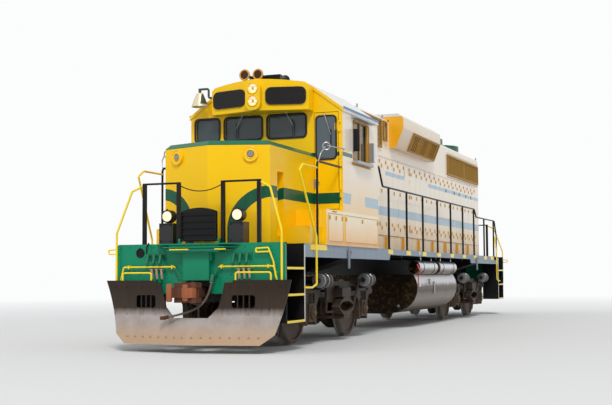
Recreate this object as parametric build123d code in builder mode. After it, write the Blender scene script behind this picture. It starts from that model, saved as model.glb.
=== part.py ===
"""Four-axle diesel road switcher locomotive with a low nose, at full size.

Millimetres. X points forward, Y to the locomotive's left, Z up from the lowest
point of the wheel flanges. The origin is midway between the bogies, on the centre
line. Wheelsets turn in the bogies, the bogies swivel under the underframe, and the
fans, cab doors, engine doors, drop steps and couplers move on it.
"""
import math
import os

from build123d import *

os.makedirs("parts", exist_ok=True)

# Running gear
tread_radius = 508.0
flange_depth = 25.0
axle_height = tread_radius + flange_depth
back_to_back = 1353.0
tyre_width = 140.0
axle_radius = 95.0
journal_radius = 80.0
bogie_spacing = 10363.0
wheelbase = 2743.0
bogie_x = bogie_spacing / 2
wheel_outer_y = back_to_back / 2 + tyre_width
joint_gap = 0.3
running_gap = 5.0

# Bogie
side_frame_y = 990.0
side_frame_thickness = 130.0
side_frame_top = 1000.0
side_frame_depth = 200.0
side_frame_reach = 1950.0
pedestal_gap = 330.0
pedestal_leg = 95.0
pedestal_foot = 330.0
journal_box_height = 300.0
journal_box_top = axle_height + journal_box_height / 2
coil_radius = 62.0
bolster_top = 1120.0
bolster_height = 220.0
bolster_length = 460.0
transom_x = 480.0
transom_length = 170.0
transom_height = 120.0
centre_pin_radius = 110.0
motor_radius = 300.0
motor_offset = 590.0
motor_half_width = 420.0
window_height = 190.0
window_bottom = 770.0
spring_y = 1205.0
spring_width = 130.0
spring_half = 400.0
spring_rise = 95.0
leaf_thickness = 14.0
leaf_count = 5
brake_cylinder_y = 1255.0
brake_cylinder_x = 1180.0
brake_cylinder_height = 1060.0
brake_cylinder_radius = 122.0
brake_cylinder_length = 330.0
shoe_thickness = 50.0
shoe_gap = 8.0

# Underframe
deck_height = 1645.0
deck_thickness = 30.0
half_width = 1430.0
end_x = 8380.0
sill_thickness = 40.0
sill_shallow = 110.0
sill_deep = 210.0
deep_front_x = 3100.0
deep_rear_x = -4150.0
centre_sill_half = 330.0
centre_sill_bottom = 1150.0
pilot_thickness = 50.0
pilot_bottom = 880.0
pilot_face = end_x + pilot_thickness
well_length = 740.0
well_depth = 430.0
well_bottom = 440.0
drop_hinge_x = end_x + 22
drop_hinge_z = deck_height + 50
well_x = end_x - well_length
well_y = half_width - well_depth
tread_count = 3

# Draw gear
coupler_height = 901.0
coupler_face = 9017.0
coupler_pivot = 8020.0
shank_half = 65.0
coupler_swing = 6.0
knuckle_pin = (8880.0, 135.0)
coupler_pin_radius = 40.0
pin_gap = 0.5

# Plough
plough_top = 1085.0
plough_bottom = 125.0
plough_half_top = 1560.0
plough_half_bottom = 1330.0
plough_thickness = 22.0

# Tanks
tank_front = 700.0
tank_rear = -2900.0
tank_half_width = 1330.0
tank_bottom = 310.0
reservoir_radius = 150.0
reservoir_y = 1235.0
reservoir_height = 1310.0

# Nose, cab and hood
hood_half = 920.0
nose_front = 7790.0
nose_point = 8120.0
nose_top = 3270.0
cab_front = 5850.0
cab_rear = 3850.0
cab_half = 1450.0
cab_floor = 2230.0
cab_eaves = 4020.0
cab_shoulder_y = 850.0
cab_shoulder = 4470.0
cab_crown = 4540.0
cab_wall = 60.0
box_front = 6700.0
visor_front = 6080.0
visor_point = 6310.0
visor_bottom = 3990.0
hood_rear = -7500.0
hood_top = 4425.0
hood_wall = 60.0
door_proud = 14.0

# Roof
brake_box_front = 1330.0
brake_box_rear = -1850.0
brake_box_half = 1240.0
brake_box_bottom = 3830.0
flare_foot = 150.0
brake_box_top = 4560.0
fan_radius = 610.0
fan_top = 4700.0
radiator_fan_x = (-4420.0, -6250.0)
brake_fan_x = (brake_box_front + brake_box_rear) / 2


def side_view(y, x=0.0):
    """A sketch plane seen from the right: sketch X runs forward, sketch Y up."""
    return Plane(origin=(x, y, 0), x_dir=(1, 0, 0), z_dir=(0, -1, 0))


def front_view(x):
    """A sketch plane seen from ahead: sketch X is Y, sketch Y up, normal forward."""
    return Plane(origin=(x, 0, 0), x_dir=(0, 1, 0), z_dir=(1, 0, 0))


def block(x, y, z, mode=Mode.ADD):
    """A box between the two values of each pair, in the open part."""
    with Locations((sum(x) / 2, sum(y) / 2, sum(z) / 2)):
        Box(abs(x[1] - x[0]), abs(y[1] - y[0]), abs(z[1] - z[0]), mode=mode)


def bar(start, end, radius, mode=Mode.ADD):
    """A round bar from one point to another."""
    run = Vector(*end) - Vector(*start)
    with BuildSketch(Plane(origin=start, z_dir=run)) as section:
        Circle(radius)
    extrude(section.sketch, amount=run.length, mode=mode)


def pipe(points, radius, bend):
    """A round bar along straight runs with rounded corners."""
    with BuildLine() as route:
        FilletPolyline(*points, radius=bend)
    start = Plane(origin=route.line @ 0, z_dir=route.line % 0)
    with BuildSketch(start) as section:
        Circle(radius)
    sweep(section.sketch, path=route.line)


def save(built, name):
    """Label a finished sub-part and write its STEP file."""
    built.part.label = name
    export_step(built.part, f"parts/{name}.step")


# Wheelsets: an axle with two wheels, turned from one profile about Y
axle_end_y = side_frame_y + side_frame_thickness - 20
wheel_inner_y = back_to_back / 2
axle_table = (  # name, x of the axle
    ("wheelset_1", bogie_x + wheelbase / 2),
    ("wheelset_2", bogie_x - wheelbase / 2),
    ("wheelset_3", -bogie_x + wheelbase / 2),
    ("wheelset_4", -bogie_x - wheelbase / 2),
)
for name, x in axle_table:
    with BuildPart() as wheelset:
        with BuildSketch(Plane(origin=(x, 0, axle_height), x_dir=(0, 1, 0), z_dir=(1, 0, 0))):
            with BuildLine():
                Polyline(
                    (0, 0), (0, axle_radius), (wheel_inner_y - 20, axle_radius),
                    (wheel_inner_y - 20, 150), (wheel_inner_y + 30, 150),
                )
                ThreePointArc(
                    (wheel_inner_y + 30, 150), (wheel_inner_y + 62, 290), (wheel_inner_y + 10, 420)
                )
                Polyline(
                    (wheel_inner_y + 10, 420), (wheel_inner_y, 440),
                    (wheel_inner_y, tread_radius + flange_depth - 8),
                    (wheel_inner_y + 8, tread_radius + flange_depth),
                    (wheel_inner_y + 22, tread_radius + flange_depth),
                    (wheel_inner_y + 34, tread_radius + 2), (wheel_outer_y - 10, tread_radius - 4),
                    (wheel_outer_y, tread_radius - 14), (wheel_outer_y, 440),
                    (wheel_outer_y - 30, 420),
                )
                ThreePointArc(
                    (wheel_outer_y - 30, 420), (wheel_inner_y + 88, 290), (wheel_outer_y - 60, 150)
                )
                Polyline(
                    (wheel_outer_y - 60, 150), (wheel_outer_y + 15, 140),
                    (wheel_outer_y + 15, journal_radius), (axle_end_y, journal_radius),
                    (axle_end_y, 0), (0, 0),
                )
            make_face()
        revolve(axis=Axis((x, 0, axle_height), (0, 1, 0)))
        mirror(about=Plane.XZ)
    save(wheelset, name)


# Bogies: cast side frames with pedestals, bolster, motors, springs and brakes
half_base = wheelbase / 2
pedestal_inner = pedestal_gap / 2
frame_outer_y = side_frame_y + side_frame_thickness
frame_under = side_frame_top - side_frame_depth
coil_seat = frame_under + 50
bolster_half = bolster_length / 2
spring_middle = window_bottom - spring_rise - leaf_count * leaf_thickness
plank_top = spring_middle - spring_rise - leaf_count * leaf_thickness
leaf_radius = (spring_half**2 + spring_rise**2) / (2 * spring_rise)
leaf_turn = math.degrees(math.asin(spring_half / leaf_radius))
frame_middle_y = side_frame_y + side_frame_thickness / 2
coil_rings = 4
coil_rise = (coil_seat - journal_box_top) / coil_rings
for end, centre_x in (("front", bogie_x), ("rear", -bogie_x)):
    axle_xs = (centre_x - half_base, centre_x + half_base)

    with BuildPart() as bogie_frame:
        with BuildSketch(side_view(frame_outer_y, centre_x)):
            with BuildLine():
                Polyline(
                    (0, side_frame_top + 40), (560, side_frame_top + 40), (700, side_frame_top),
                    (side_frame_reach - 130, side_frame_top), (side_frame_reach, frame_under + 60),
                    (side_frame_reach - 40, frame_under),
                    (half_base + pedestal_inner + pedestal_leg + 90, frame_under - 20),
                    (half_base + pedestal_inner + pedestal_leg, frame_under - 150),
                    (half_base + pedestal_inner + pedestal_leg - 20, pedestal_foot),
                    (half_base + pedestal_inner, pedestal_foot),
                    (half_base + pedestal_inner, coil_seat),
                    (half_base - pedestal_inner, coil_seat),
                    (half_base - pedestal_inner, pedestal_foot),
                    (half_base - pedestal_inner - pedestal_leg + 20, pedestal_foot),
                    (half_base - pedestal_inner - pedestal_leg, frame_under - 150),
                    (half_base - pedestal_inner - pedestal_leg - 110, frame_under - 20),
                    (640, frame_under - 30), (560, frame_under - 120), (0, frame_under - 120),
                    (0, side_frame_top + 40),
                )
            make_face()
            mirror(about=Plane.YZ)
            with Locations((0, window_bottom + window_height / 2)):
                Rectangle(bolster_length + 2 * running_gap, window_height, mode=Mode.SUBTRACT)
            for pocket_x in (-760, 760):
                with Locations((pocket_x, frame_under + 105)):
                    SlotOverall(330, 90, mode=Mode.SUBTRACT)
        extrude(amount=side_frame_thickness)
        for transom_side in (-1, 1):
            middle = centre_x + transom_side * transom_x
            block((middle - transom_length / 2, middle + transom_length / 2), (0, side_frame_y),
                  (side_frame_top - transom_height, side_frame_top))
        for side_x in (-1, 1):
            cylinder_x = centre_x + side_x * brake_cylinder_x
            bar(
                (cylinder_x - brake_cylinder_length / 2, brake_cylinder_y, brake_cylinder_height),
                (cylinder_x + brake_cylinder_length / 2, brake_cylinder_y, brake_cylinder_height),
                brake_cylinder_radius,
            )
            block(
                (cylinder_x - 90, cylinder_x + 90), (frame_outer_y, brake_cylinder_y),
                (side_frame_top - 90, side_frame_top - 10),
            )
        for x in axle_xs:
            for shoe_side in (-1, 1):
                face = tread_radius + shoe_gap
                hanger_x = x + shoe_side * (face + shoe_thickness + 15)
                top = frame_under + 40
                with BuildSketch(side_view(wheel_outer_y - 10, x)):
                    with BuildLine():
                        turn = 0 if shoe_side > 0 else 180
                        inside = CenterArc((0, axle_height), face, turn - 14, 28)
                        outside = CenterArc((0, axle_height), face + shoe_thickness, turn - 14, 28)
                        Line(inside @ 0, outside @ 0)
                        Line(inside @ 1, outside @ 1)
                    make_face()
                extrude(amount=tyre_width - 50)
                block((hanger_x - 25, hanger_x + 25), (wheel_outer_y - 50, wheel_outer_y - 10),
                      (axle_height - 60, top))
                block((hanger_x - 25, hanger_x + 25), (wheel_outer_y - 50, side_frame_y),
                      (top - 50, top))
        mirror(about=Plane.XZ)
    save(bogie_frame, f"bogie_frame_{end}")

    with BuildPart() as suspension:
        with BuildSketch(front_view(centre_x - bolster_half)):
            with BuildLine():
                Polyline(
                    (0, bolster_top - bolster_height - 60), (420, bolster_top - bolster_height - 60),
                    (700, window_bottom), (spring_y + spring_width / 2, window_bottom),
                    (spring_y + spring_width / 2, window_bottom + window_height - 30),
                    (side_frame_y - 60, window_bottom + window_height - 10), (520, bolster_top),
                    (0, bolster_top), (0, bolster_top - bolster_height - 60),
                )
            make_face()
        extrude(amount=bolster_length)
        with BuildSketch(side_view(spring_y + spring_width / 2, centre_x)):
            for leaf in range(leaf_count):
                turn = leaf_turn * (1 - 0.16 * leaf)
                inner = leaf_radius + leaf * leaf_thickness
                outer = inner + leaf_thickness
                low = spring_middle + spring_rise - leaf_radius
                with BuildLine():
                    inside = CenterArc((0, low), inner, 90 - turn, 2 * turn)
                    outside = CenterArc((0, low), outer, 90 - turn, 2 * turn)
                    Line(inside @ 0, outside @ 0)
                    Line(inside @ 1, outside @ 1)
                make_face()
            with Locations((0, (spring_middle + spring_rise + window_bottom) / 2)):
                Rectangle(120, window_bottom - spring_middle - spring_rise + 20)
            mirror(about=Plane(origin=(0, spring_middle, 0), z_dir=(0, 1, 0)))
            with Locations((-spring_half, spring_middle), (spring_half, spring_middle)):
                Circle(24)
        extrude(amount=spring_width)
        block((centre_x - 150, centre_x + 150), (0, spring_y + spring_width / 2),
              (plank_top - 50, plank_top))
        for link_x in (-120, 120):
            bar((centre_x + link_x, frame_middle_y, plank_top - 10),
                (centre_x + link_x, frame_middle_y, frame_under - 120), 26)
        for x in axle_xs:
            block((x - pedestal_inner + running_gap, x + pedestal_inner - running_gap),
                  (side_frame_y - 10, frame_outer_y + 30),
                  (axle_height - journal_box_height / 2, journal_box_top))
            bar((x, frame_outer_y + 30, axle_height), (x, frame_outer_y + 58, axle_height), 112)
            for coil_x in (x - pedestal_inner / 2, x + pedestal_inner / 2):
                for ring in range(coil_rings):
                    low = journal_box_top + ring * coil_rise
                    neck = low + coil_rise * 0.6
                    bar((coil_x, frame_middle_y, low), (coil_x, frame_middle_y, neck), coil_radius)
                    bar((coil_x, frame_middle_y, neck), (coil_x, frame_middle_y, low + coil_rise),
                        coil_radius - 18)
            bar((x, side_frame_y - 11, axle_height), (x, axle_end_y + 8, axle_height),
                journal_radius + 1, mode=Mode.SUBTRACT)
        mirror(about=Plane.XZ)
        bar((centre_x, 0, bolster_top + 1), (centre_x, 0, bolster_top - 200),
            centre_pin_radius + running_gap, mode=Mode.SUBTRACT)
    save(suspension, f"bogie_suspension_{end}")

    with BuildPart() as motors:
        for x, inward in ((axle_xs[0], 1), (axle_xs[1], -1)):
            motor_x = x + inward * motor_offset
            bar((motor_x, -motor_half_width, axle_height + 20),
                (motor_x, motor_half_width, axle_height + 20), motor_radius)
            bar((x, -motor_half_width, axle_height), (x, motor_half_width, axle_height), 165)
            block((x, motor_x), (-motor_half_width + 40, motor_half_width - 40),
                  (axle_height - 120, axle_height + 150))
            with BuildSketch(side_view(motor_half_width + 120)):
                with Locations((x, axle_height)):
                    Circle(375)
                with Locations((motor_x, axle_height + 20)):
                    Circle(190)
                make_hull()
            extrude(amount=120)
            block((motor_x - inward * 40, motor_x + inward * 300), (-120, 120),
                  (axle_height + 120, side_frame_top - transom_height))
            bar((x, -motor_half_width - 5, axle_height), (x, motor_half_width + 140, axle_height),
                axle_radius + running_gap, mode=Mode.SUBTRACT)
    save(motors, f"traction_motors_{end}")


# Underframe: deck, sills, centre sill, bolsters with their pins, and draft boxes
deck_under = deck_height - deck_thickness
draft_half = 230.0
pocket_half = 160.0
with BuildPart() as underframe:
    block((-end_x, end_x), (-half_width, half_width), (deck_under, deck_height))
    for well_sign in (-1, 1):
        for side_sign in (-1, 1):
            block(
                (well_sign * well_x, well_sign * (end_x + 1)),
                (side_sign * well_y, side_sign * (half_width + 1)),
                (deck_under - 1, deck_height + 1), mode=Mode.SUBTRACT,
            )
    with BuildSketch(side_view(half_width)):
        with BuildLine():
            Polyline(
                (well_x, deck_under), (well_x, deck_height - sill_deep),
                (deep_front_x, deck_height - sill_deep), (deep_front_x - 90, deck_height - sill_shallow),
                (deep_rear_x + 90, deck_height - sill_shallow), (deep_rear_x, deck_height - sill_deep),
                (-well_x, deck_height - sill_deep), (-well_x, deck_under), (well_x, deck_under),
            )
        make_face()
    extrude(amount=sill_thickness)
    block((-end_x, end_x), (-centre_sill_half, centre_sill_half), (centre_sill_bottom, deck_under))
    for end_sign in (-1, 1):
        with BuildSketch(front_view(end_sign * bogie_x - 350)):
            with BuildLine():
                Polyline(
                    (0, deck_under), (half_width - sill_thickness, deck_under),
                    (half_width - sill_thickness, deck_height - sill_deep + 20),
                    (560, centre_sill_bottom + 50), (0, centre_sill_bottom + 50), (0, deck_under),
                )
            make_face()
            mirror(about=Plane.YZ)
        extrude(amount=700)
        bar((end_sign * bogie_x, 0, bolster_top + joint_gap),
            (end_sign * bogie_x, 0, centre_sill_bottom + 60), 360)
        bar((end_sign * bogie_x, 0, bolster_top - 180), (end_sign * bogie_x, 0, bolster_top + 10),
            centre_pin_radius)
        block((end_sign * (coupler_pivot - 320), end_sign * end_x), (-draft_half, draft_half),
              (coupler_height - 150, centre_sill_bottom))
        block((end_sign * (coupler_pivot - 120), end_sign * (end_x + 1)), (-pocket_half, pocket_half),
              (coupler_height - 90, coupler_height + 90), mode=Mode.SUBTRACT)
        bar((end_sign * coupler_pivot, 0, coupler_height - 95),
            (end_sign * coupler_pivot, 0, coupler_height + 95), coupler_pin_radius)
    for beam_x in (-2100, -700, 700, 2100, 3300, -3300, 7000, -7000):
        block((beam_x - 40, beam_x + 40), (-half_width + sill_thickness, half_width - sill_thickness),
              (deck_under - 120, deck_under))
    mirror(about=Plane.XZ)
save(underframe, "underframe")


# Pilots: end plates with a coupler opening and a ribbed anti-climber shelf
with BuildPart() as pilots:
    with BuildSketch(front_view(end_x)):
        with Locations((0, (pilot_bottom + deck_height) / 2)):
            RectangleRounded(2 * half_width, deck_height - pilot_bottom, 45)
        with Locations((0, coupler_height + 10)):
            RectangleRounded(2 * pocket_half + 120, 330, 40, mode=Mode.SUBTRACT)
    extrude(amount=pilot_thickness)
    for rib in range(3):
        with BuildSketch(Plane.XY.offset(deck_height - 24 - 46 * rib)):
            with BuildLine():
                Polyline(
                    (pilot_face - 1, 720 - 60 * rib), (pilot_face + 200, 560 - 60 * rib),
                    (pilot_face + 200, -560 + 60 * rib), (pilot_face - 1, -720 + 60 * rib),
                    (pilot_face - 1, 720 - 60 * rib),
                )
            make_face()
        extrude(amount=20)
    block((pilot_face - 1, pilot_face + 170), (-420, 420), (deck_height - 140, deck_height - 10))
    block((pilot_face - 1, pilot_face + 90), (-pocket_half - 60, pocket_half + 60),
          (coupler_height + 185, deck_height - 140))
    for bracket_y in (-335, 335):
        with BuildSketch(side_view(bracket_y + 15)):
            with Locations((drop_hinge_x, drop_hinge_z)):
                Circle(28)
                Rectangle(56, drop_hinge_z - deck_height, align=(Align.CENTER, Align.MAX))
        extrude(amount=30)
        inner_end = bracket_y - math.copysign(34, bracket_y)
        bar((drop_hinge_x, bracket_y, drop_hinge_z), (drop_hinge_x, inner_end, drop_hinge_z), 9)
    mirror(about=Plane.YZ)
save(pilots, "pilots")


# Corner step wells: side plates, back plate and treads
with BuildPart() as step_wells:
    plate = 16.0
    block((well_x, well_x + plate), (well_y, half_width), (well_bottom, deck_height))
    block((end_x - plate, end_x), (well_y, half_width), (well_bottom, deck_height))
    block((well_x, end_x), (well_y - plate, well_y), (well_bottom, deck_under))
    pitch = (deck_height - well_bottom) / tread_count
    for tread in range(tread_count):
        block((well_x, end_x), (well_y + 70 * tread, half_width),
              (well_bottom + tread * pitch, well_bottom + tread * pitch + 30))
    mirror(about=Plane.XZ)
    mirror(about=Plane.YZ)
save(step_wells, "step_wells")


# Snow plough: a curved blade in two wings with two barred windows and a coupler notch
blade_rows = (  # y, x at the top, x at the foot, how far the curve bows back
    (0.0, 8730.0, 8900.0, 95.0),
    (plough_half_top, 8520.0, 8640.0, 80.0),
)


def blade_back(y, z):
    """The x of the blade's back face at that y and height."""
    share = y / plough_half_top
    top_x, foot_x, bow = (a + (b - a) * share for a, b in zip(blade_rows[0][1:], blade_rows[1][1:]))
    rise = (z - plough_bottom) / (plough_top - plough_bottom)
    return foot_x + (top_x - foot_x) * rise - 4 * bow * rise * (1 - rise) - plough_thickness


with BuildPart() as plough:
    for row_y, top_x, foot_x, bow in blade_rows:
        with BuildSketch(side_view(row_y)):
            with BuildLine():
                middle = ((top_x + foot_x) / 2 - bow, (plough_top + plough_bottom) / 2)
                face = ThreePointArc((top_x, plough_top), middle, (foot_x, plough_bottom))
                back = ThreePointArc(
                    (top_x - plough_thickness, plough_top),
                    (middle[0] - plough_thickness, middle[1]),
                    (foot_x - plough_thickness, plough_bottom),
                )
                Line(face @ 0, back @ 0)
                Line(face @ 1, back @ 1)
            make_face()
    loft(ruled=True)
    with BuildSketch(front_view(8200)):
        with BuildLine():
            Polyline(
                (plough_half_bottom - 200, plough_bottom - 1), (plough_half_bottom, plough_bottom + 150),
                (plough_half_top, plough_top + 1), (plough_half_top + 10, plough_bottom - 1),
                (plough_half_bottom - 200, plough_bottom - 1),
            )
        make_face()
        with Locations((820, 765)):
            RectangleRounded(360, 190, 40)
        with BuildLine():
            Polyline(
                (-1, 520), (290, 520), (440, 680), (540, plough_top - 35), (660, plough_top - 35),
                (680, plough_top + 1), (-1, plough_top + 1), (-1, 520),
            )
        make_face()
    extrude(amount=900, mode=Mode.SUBTRACT)
    for bar_y in (730, 820, 910):
        bar((blade_back(bar_y, 650) + 8, bar_y, 650), (blade_back(bar_y, 880) + 8, bar_y, 880), 11)
    for brace_y in (720, 1150):
        with BuildSketch(side_view(brace_y + 12)):
            with BuildLine():
                Polyline(
                    (pilot_face, 940), (blade_back(brace_y, 940) + 8, 940),
                    (blade_back(brace_y, 1000) + 8, 1000), (blade_back(brace_y, 1055) + 8, 1055),
                    (pilot_face, 1055), (pilot_face, 940),
                )
            make_face()
        extrude(amount=24)
    mirror(about=Plane.XZ)
save(plough, "snow_plough")


# Couplers: shank and head, and a knuckle that opens about its pin
head_outline = (  # x, y of the head and shank, seen from above
    (coupler_pivot - 60, -shank_half), (8660, -shank_half), (8740, -170), (8830, -230),
    (8985, -235), (8985, -165), (8905, -120), (8880, 40), (8830, 70), (8790, 190), (8700, 150),
    (8660, shank_half), (coupler_pivot - 60, shank_half), (coupler_pivot - 60, -shank_half),
)
knuckle_outline = (
    (8890, 95), (8925, 20), (8985, 0), (coupler_face, 30), (coupler_face, 110), (8960, 170),
    (8900, 180), (8890, 95),
)
head_half = 75.0
head_tall = 150.0
for end, sign in (("front", 1), ("rear", -1)):
    pin_x, pin_y = sign * knuckle_pin[0], sign * knuckle_pin[1]
    with BuildPart() as coupler:
        with BuildSketch(Plane.XY.offset(coupler_height - head_half)):
            with BuildLine():
                Polyline(*[(sign * x, sign * y) for x, y in head_outline])
            make_face()
            with Locations((sign * coupler_pivot, 0)):
                Circle(coupler_pin_radius + pin_gap, mode=Mode.SUBTRACT)
        extrude(amount=2 * head_half)
        for low, high in ((-head_tall, -head_half), (head_half, head_tall)):
            bar((pin_x, pin_y, coupler_height + low), (pin_x, pin_y, coupler_height + high), 62)
            block((sign * 8700, pin_x), (sign * 60, sign * 190),
                  (coupler_height + low, coupler_height + high))
            block((sign * 8700, sign * 8860), (-190, 190),
                  (coupler_height + low, coupler_height + high))
    save(coupler, f"coupler_{end}")

    with BuildPart() as knuckle:
        with BuildSketch(Plane.XY.offset(coupler_height - head_half + joint_gap)):
            with Locations((pin_x, pin_y)):
                Circle(52)
            with BuildLine():
                Polyline(*[(sign * x, sign * y) for x, y in knuckle_outline])
            make_face()
        extrude(amount=2 * head_half - 2 * joint_gap)
    save(knuckle, f"knuckle_{end}")


# Fuel tank and the air reservoirs above it
with BuildPart() as tank:
    with BuildSketch(front_view(tank_rear)):
        with BuildLine():
            Line((0, centre_sill_bottom), (tank_half_width - 90, centre_sill_bottom))
            ThreePointArc(
                (tank_half_width - 90, centre_sill_bottom), (tank_half_width, 850),
                (tank_half_width - 330, 400),
            )
            ThreePointArc(
                (tank_half_width - 330, 400), (tank_half_width - 520, tank_bottom + 25),
                (tank_half_width - 700, tank_bottom),
            )
            Polyline((tank_half_width - 700, tank_bottom), (0, tank_bottom), (0, centre_sill_bottom))
        make_face()
        mirror(about=Plane.YZ)
    extrude(amount=tank_front - tank_rear)
save(tank, "fuel_tank")

with BuildPart() as reservoirs:
    dome = 70.0
    for x0, x1 in ((tank_rear + 100, -1150.0), (-950.0, tank_front - 100)):
        with BuildSketch(Plane.XY.offset(reservoir_height)):
            with BuildLine():
                Line((x0 + dome, reservoir_y), (x0, reservoir_y))
                Line((x0, reservoir_y), (x0 + 2, reservoir_y + 40))
                ThreePointArc((x0 + 2, reservoir_y + 40), (x0 + 22, reservoir_y + 112),
                              (x0 + dome, reservoir_y + reservoir_radius))
                Line((x0 + dome, reservoir_y + reservoir_radius),
                     (x1 - dome, reservoir_y + reservoir_radius))
                ThreePointArc((x1 - dome, reservoir_y + reservoir_radius),
                              (x1 - 22, reservoir_y + 112), (x1 - 2, reservoir_y + 40))
                Line((x1 - 2, reservoir_y + 40), (x1, reservoir_y))
                Line((x1, reservoir_y), (x0 + dome, reservoir_y))
            make_face()
        revolve(axis=Axis((0, reservoir_y, reservoir_height), (1, 0, 0)))
        for strap_x in (x0 + 330, x1 - 330):
            bar((strap_x - 25, reservoir_y, reservoir_height), (strap_x + 25, reservoir_y, reservoir_height),
                reservoir_radius + 8)
            block((strap_x - 25, strap_x + 25), (reservoir_y - 60, reservoir_y + 60),
                  (reservoir_height + 100, deck_under))
    mirror(about=Plane.XZ)
save(reservoirs, "air_reservoirs")


# Equipment boxes: under the cab and forward beside the nose, with the step boxes
with BuildPart() as boxes:
    block((cab_rear, cab_front), (-cab_half, cab_half), (deck_height, cab_floor))
    block((cab_front, box_front), (hood_half, cab_half), (deck_height, cab_floor))
    block((box_front, box_front + 560), (hood_half, cab_half - 75), (deck_height, deck_height + 290))
    for x0, x1 in ((cab_rear + 60, cab_front - 40), (cab_front + 40, box_front - 60)):
        block((x0, x1), (cab_half, cab_half + door_proud), (deck_height + 50, cab_floor - 50))
    mirror(about=Plane.XZ)
save(boxes, "equipment_boxes")


# Nose: pointed low hood with a recess for the hand brake
with BuildPart() as nose:
    with BuildSketch(Plane.XY.offset(deck_height)):
        with BuildLine():
            Polyline(
                (cab_front, -hood_half), (nose_front, -hood_half), (nose_point, 0),
                (nose_front, hood_half), (cab_front, hood_half), (cab_front, -hood_half),
            )
        make_face()
    extrude(amount=nose_top - deck_height)
    chamfer(nose.faces().sort_by(Axis.Z)[-1].edges().sort_by(Axis.X)[1:], 70)
    block((7230, 7500), (hood_half - 130, hood_half + 1), (1780, 2800), mode=Mode.SUBTRACT)
save(nose, "nose")


# Hood: a hollow shell over the engine, open where the engine doors hang
door_pitch = 450.0
door_seam = 14.0
hood_door_z = (1975.0, 3560.0)
with BuildPart() as hood:
    block((hood_rear, cab_rear), (-hood_half, hood_half), (deck_height, hood_top))
    chamfer(hood.edges().filter_by(Axis.X).group_by(Axis.Z)[-1], 45)
    block((hood_rear + hood_wall, cab_rear - hood_wall), (-hood_half + hood_wall, hood_half - hood_wall),
          (deck_height - 1, hood_top - hood_wall), mode=Mode.SUBTRACT)
    block((-door_pitch / 2, door_pitch / 2), (-hood_half - 1, hood_half + 1), hood_door_z,
          mode=Mode.SUBTRACT)
save(hood, "hood")

with BuildPart() as engine:
    block((-3000, 2900), (-560, 560), (deck_height, 2500))
    block((-2300, 2300), (-700, 700), (2500, 3300))
save(engine, "engine_block")


# Cab: walls, roof and floor, each panel a piece of its own
roof_edge = cab_half + 20
roof_under = 60.0
front_window = (3560.0, 3950.0)
side_window = ((4430.0, 5280.0), (3180.0, 3860.0))
front_door = ((hood_half + 5, cab_half - 70), (cab_floor + 40, 3960.0))
rear_door = ((-cab_half + 70, -hood_half - 50), (cab_floor + 40, 3900.0))
windshields = ((60.0, 770.0), (-770.0, -60.0), (-1350.0, -890.0))


def roof_line(drop):
    """The roof's outer line in the open BuildLine, lowered by drop."""
    Polyline(
        (-roof_edge, cab_eaves - drop), (-cab_shoulder_y, cab_shoulder - drop), mode=Mode.ADD
    )
    ThreePointArc(
        (-cab_shoulder_y, cab_shoulder - drop), (0, cab_crown - drop),
        (cab_shoulder_y, cab_shoulder - drop),
    )
    Polyline(
        (cab_shoulder_y, cab_shoulder - drop), (roof_edge, cab_eaves - drop), mode=Mode.ADD
    )


door_gap = 10.0
door_window_inset = 75.0
door_pin_radius = 13.0
door_table = (  # name, x of the outer face, way out, y range, z range, foot of the window
    ("cab_door_front", cab_front, 1, front_door[0], front_door[1], 3150.0),
    ("cab_door_rear", cab_rear, -1, rear_door[0], rear_door[1], 3250.0),
)


def door_pin(row):
    """Returns x and y of a cab door's pins and their heights."""
    height = row[4]
    x = row[1] + row[2] * (door_pin_radius + joint_gap)
    return x, row[3][1] - door_gap / 2, (height[0] + 260, height[1] - 260)


def door_lugs(row):
    """Adds the wall's lugs above and below each pin of a cab door."""
    _, y, heights = door_pin(row)
    for height in heights:
        for side in (-1, 1):
            block((row[1], row[1] + row[2] * 2 * door_pin_radius), (y - 4, y + 42),
                  (height + side * (60 + joint_gap), height + side * 90))


with BuildPart() as cab_roof:
    with BuildSketch(front_view(cab_rear)):
        with BuildLine():
            roof_line(0)
            roof_line(roof_under)
            Line((-roof_edge, cab_eaves), (-roof_edge, cab_eaves - roof_under))
            Line((roof_edge, cab_eaves), (roof_edge, cab_eaves - roof_under))
        make_face()
    extrude(amount=cab_front - cab_rear + 20)
save(cab_roof, "cab_roof")

with BuildPart() as cab_envelope:
    with BuildSketch(front_view(cab_rear)):
        with BuildLine():
            roof_line(roof_under)
            Line((-roof_edge, cab_eaves - roof_under), (-roof_edge, cab_floor))
            Line((roof_edge, cab_eaves - roof_under), (roof_edge, cab_floor))
            Line((-roof_edge, cab_floor), (roof_edge, cab_floor))
        make_face()
    extrude(amount=cab_front - cab_rear)

with BuildPart() as cab_sides:
    add(cab_envelope.part)
    block((cab_rear, cab_front), (cab_half - cab_wall, cab_half), (cab_floor, cab_crown),
          mode=Mode.INTERSECT)
    mirror(about=Plane.XZ)
    with BuildSketch(side_view(cab_half + 1)):
        with Locations((sum(side_window[0]) / 2, sum(side_window[1]) / 2)):
            RectangleRounded(
                side_window[0][1] - side_window[0][0], side_window[1][1] - side_window[1][0], 60
            )
    extrude(amount=2 * cab_half + 2, mode=Mode.SUBTRACT)
save(cab_sides, "cab_sides")

inner_half = cab_half - cab_wall
with BuildPart() as cab_front_wall:
    add(cab_envelope.part)
    block((cab_front - cab_wall, cab_front), (-inner_half, inner_half), (cab_floor, cab_crown),
          mode=Mode.INTERSECT)
    with BuildSketch(front_view(cab_front - cab_wall - 1)):
        for y0, y1 in windshields:
            with Locations(((y0 + y1) / 2, sum(front_window) / 2)):
                RectangleRounded(y1 - y0, front_window[1] - front_window[0], 60)
    extrude(amount=cab_wall + 2, mode=Mode.SUBTRACT)
    block((cab_front - cab_wall - 1, cab_front + 1), front_door[0], front_door[1], mode=Mode.SUBTRACT)
    door_lugs(door_table[0])
save(cab_front_wall, "cab_front_wall")

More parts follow.
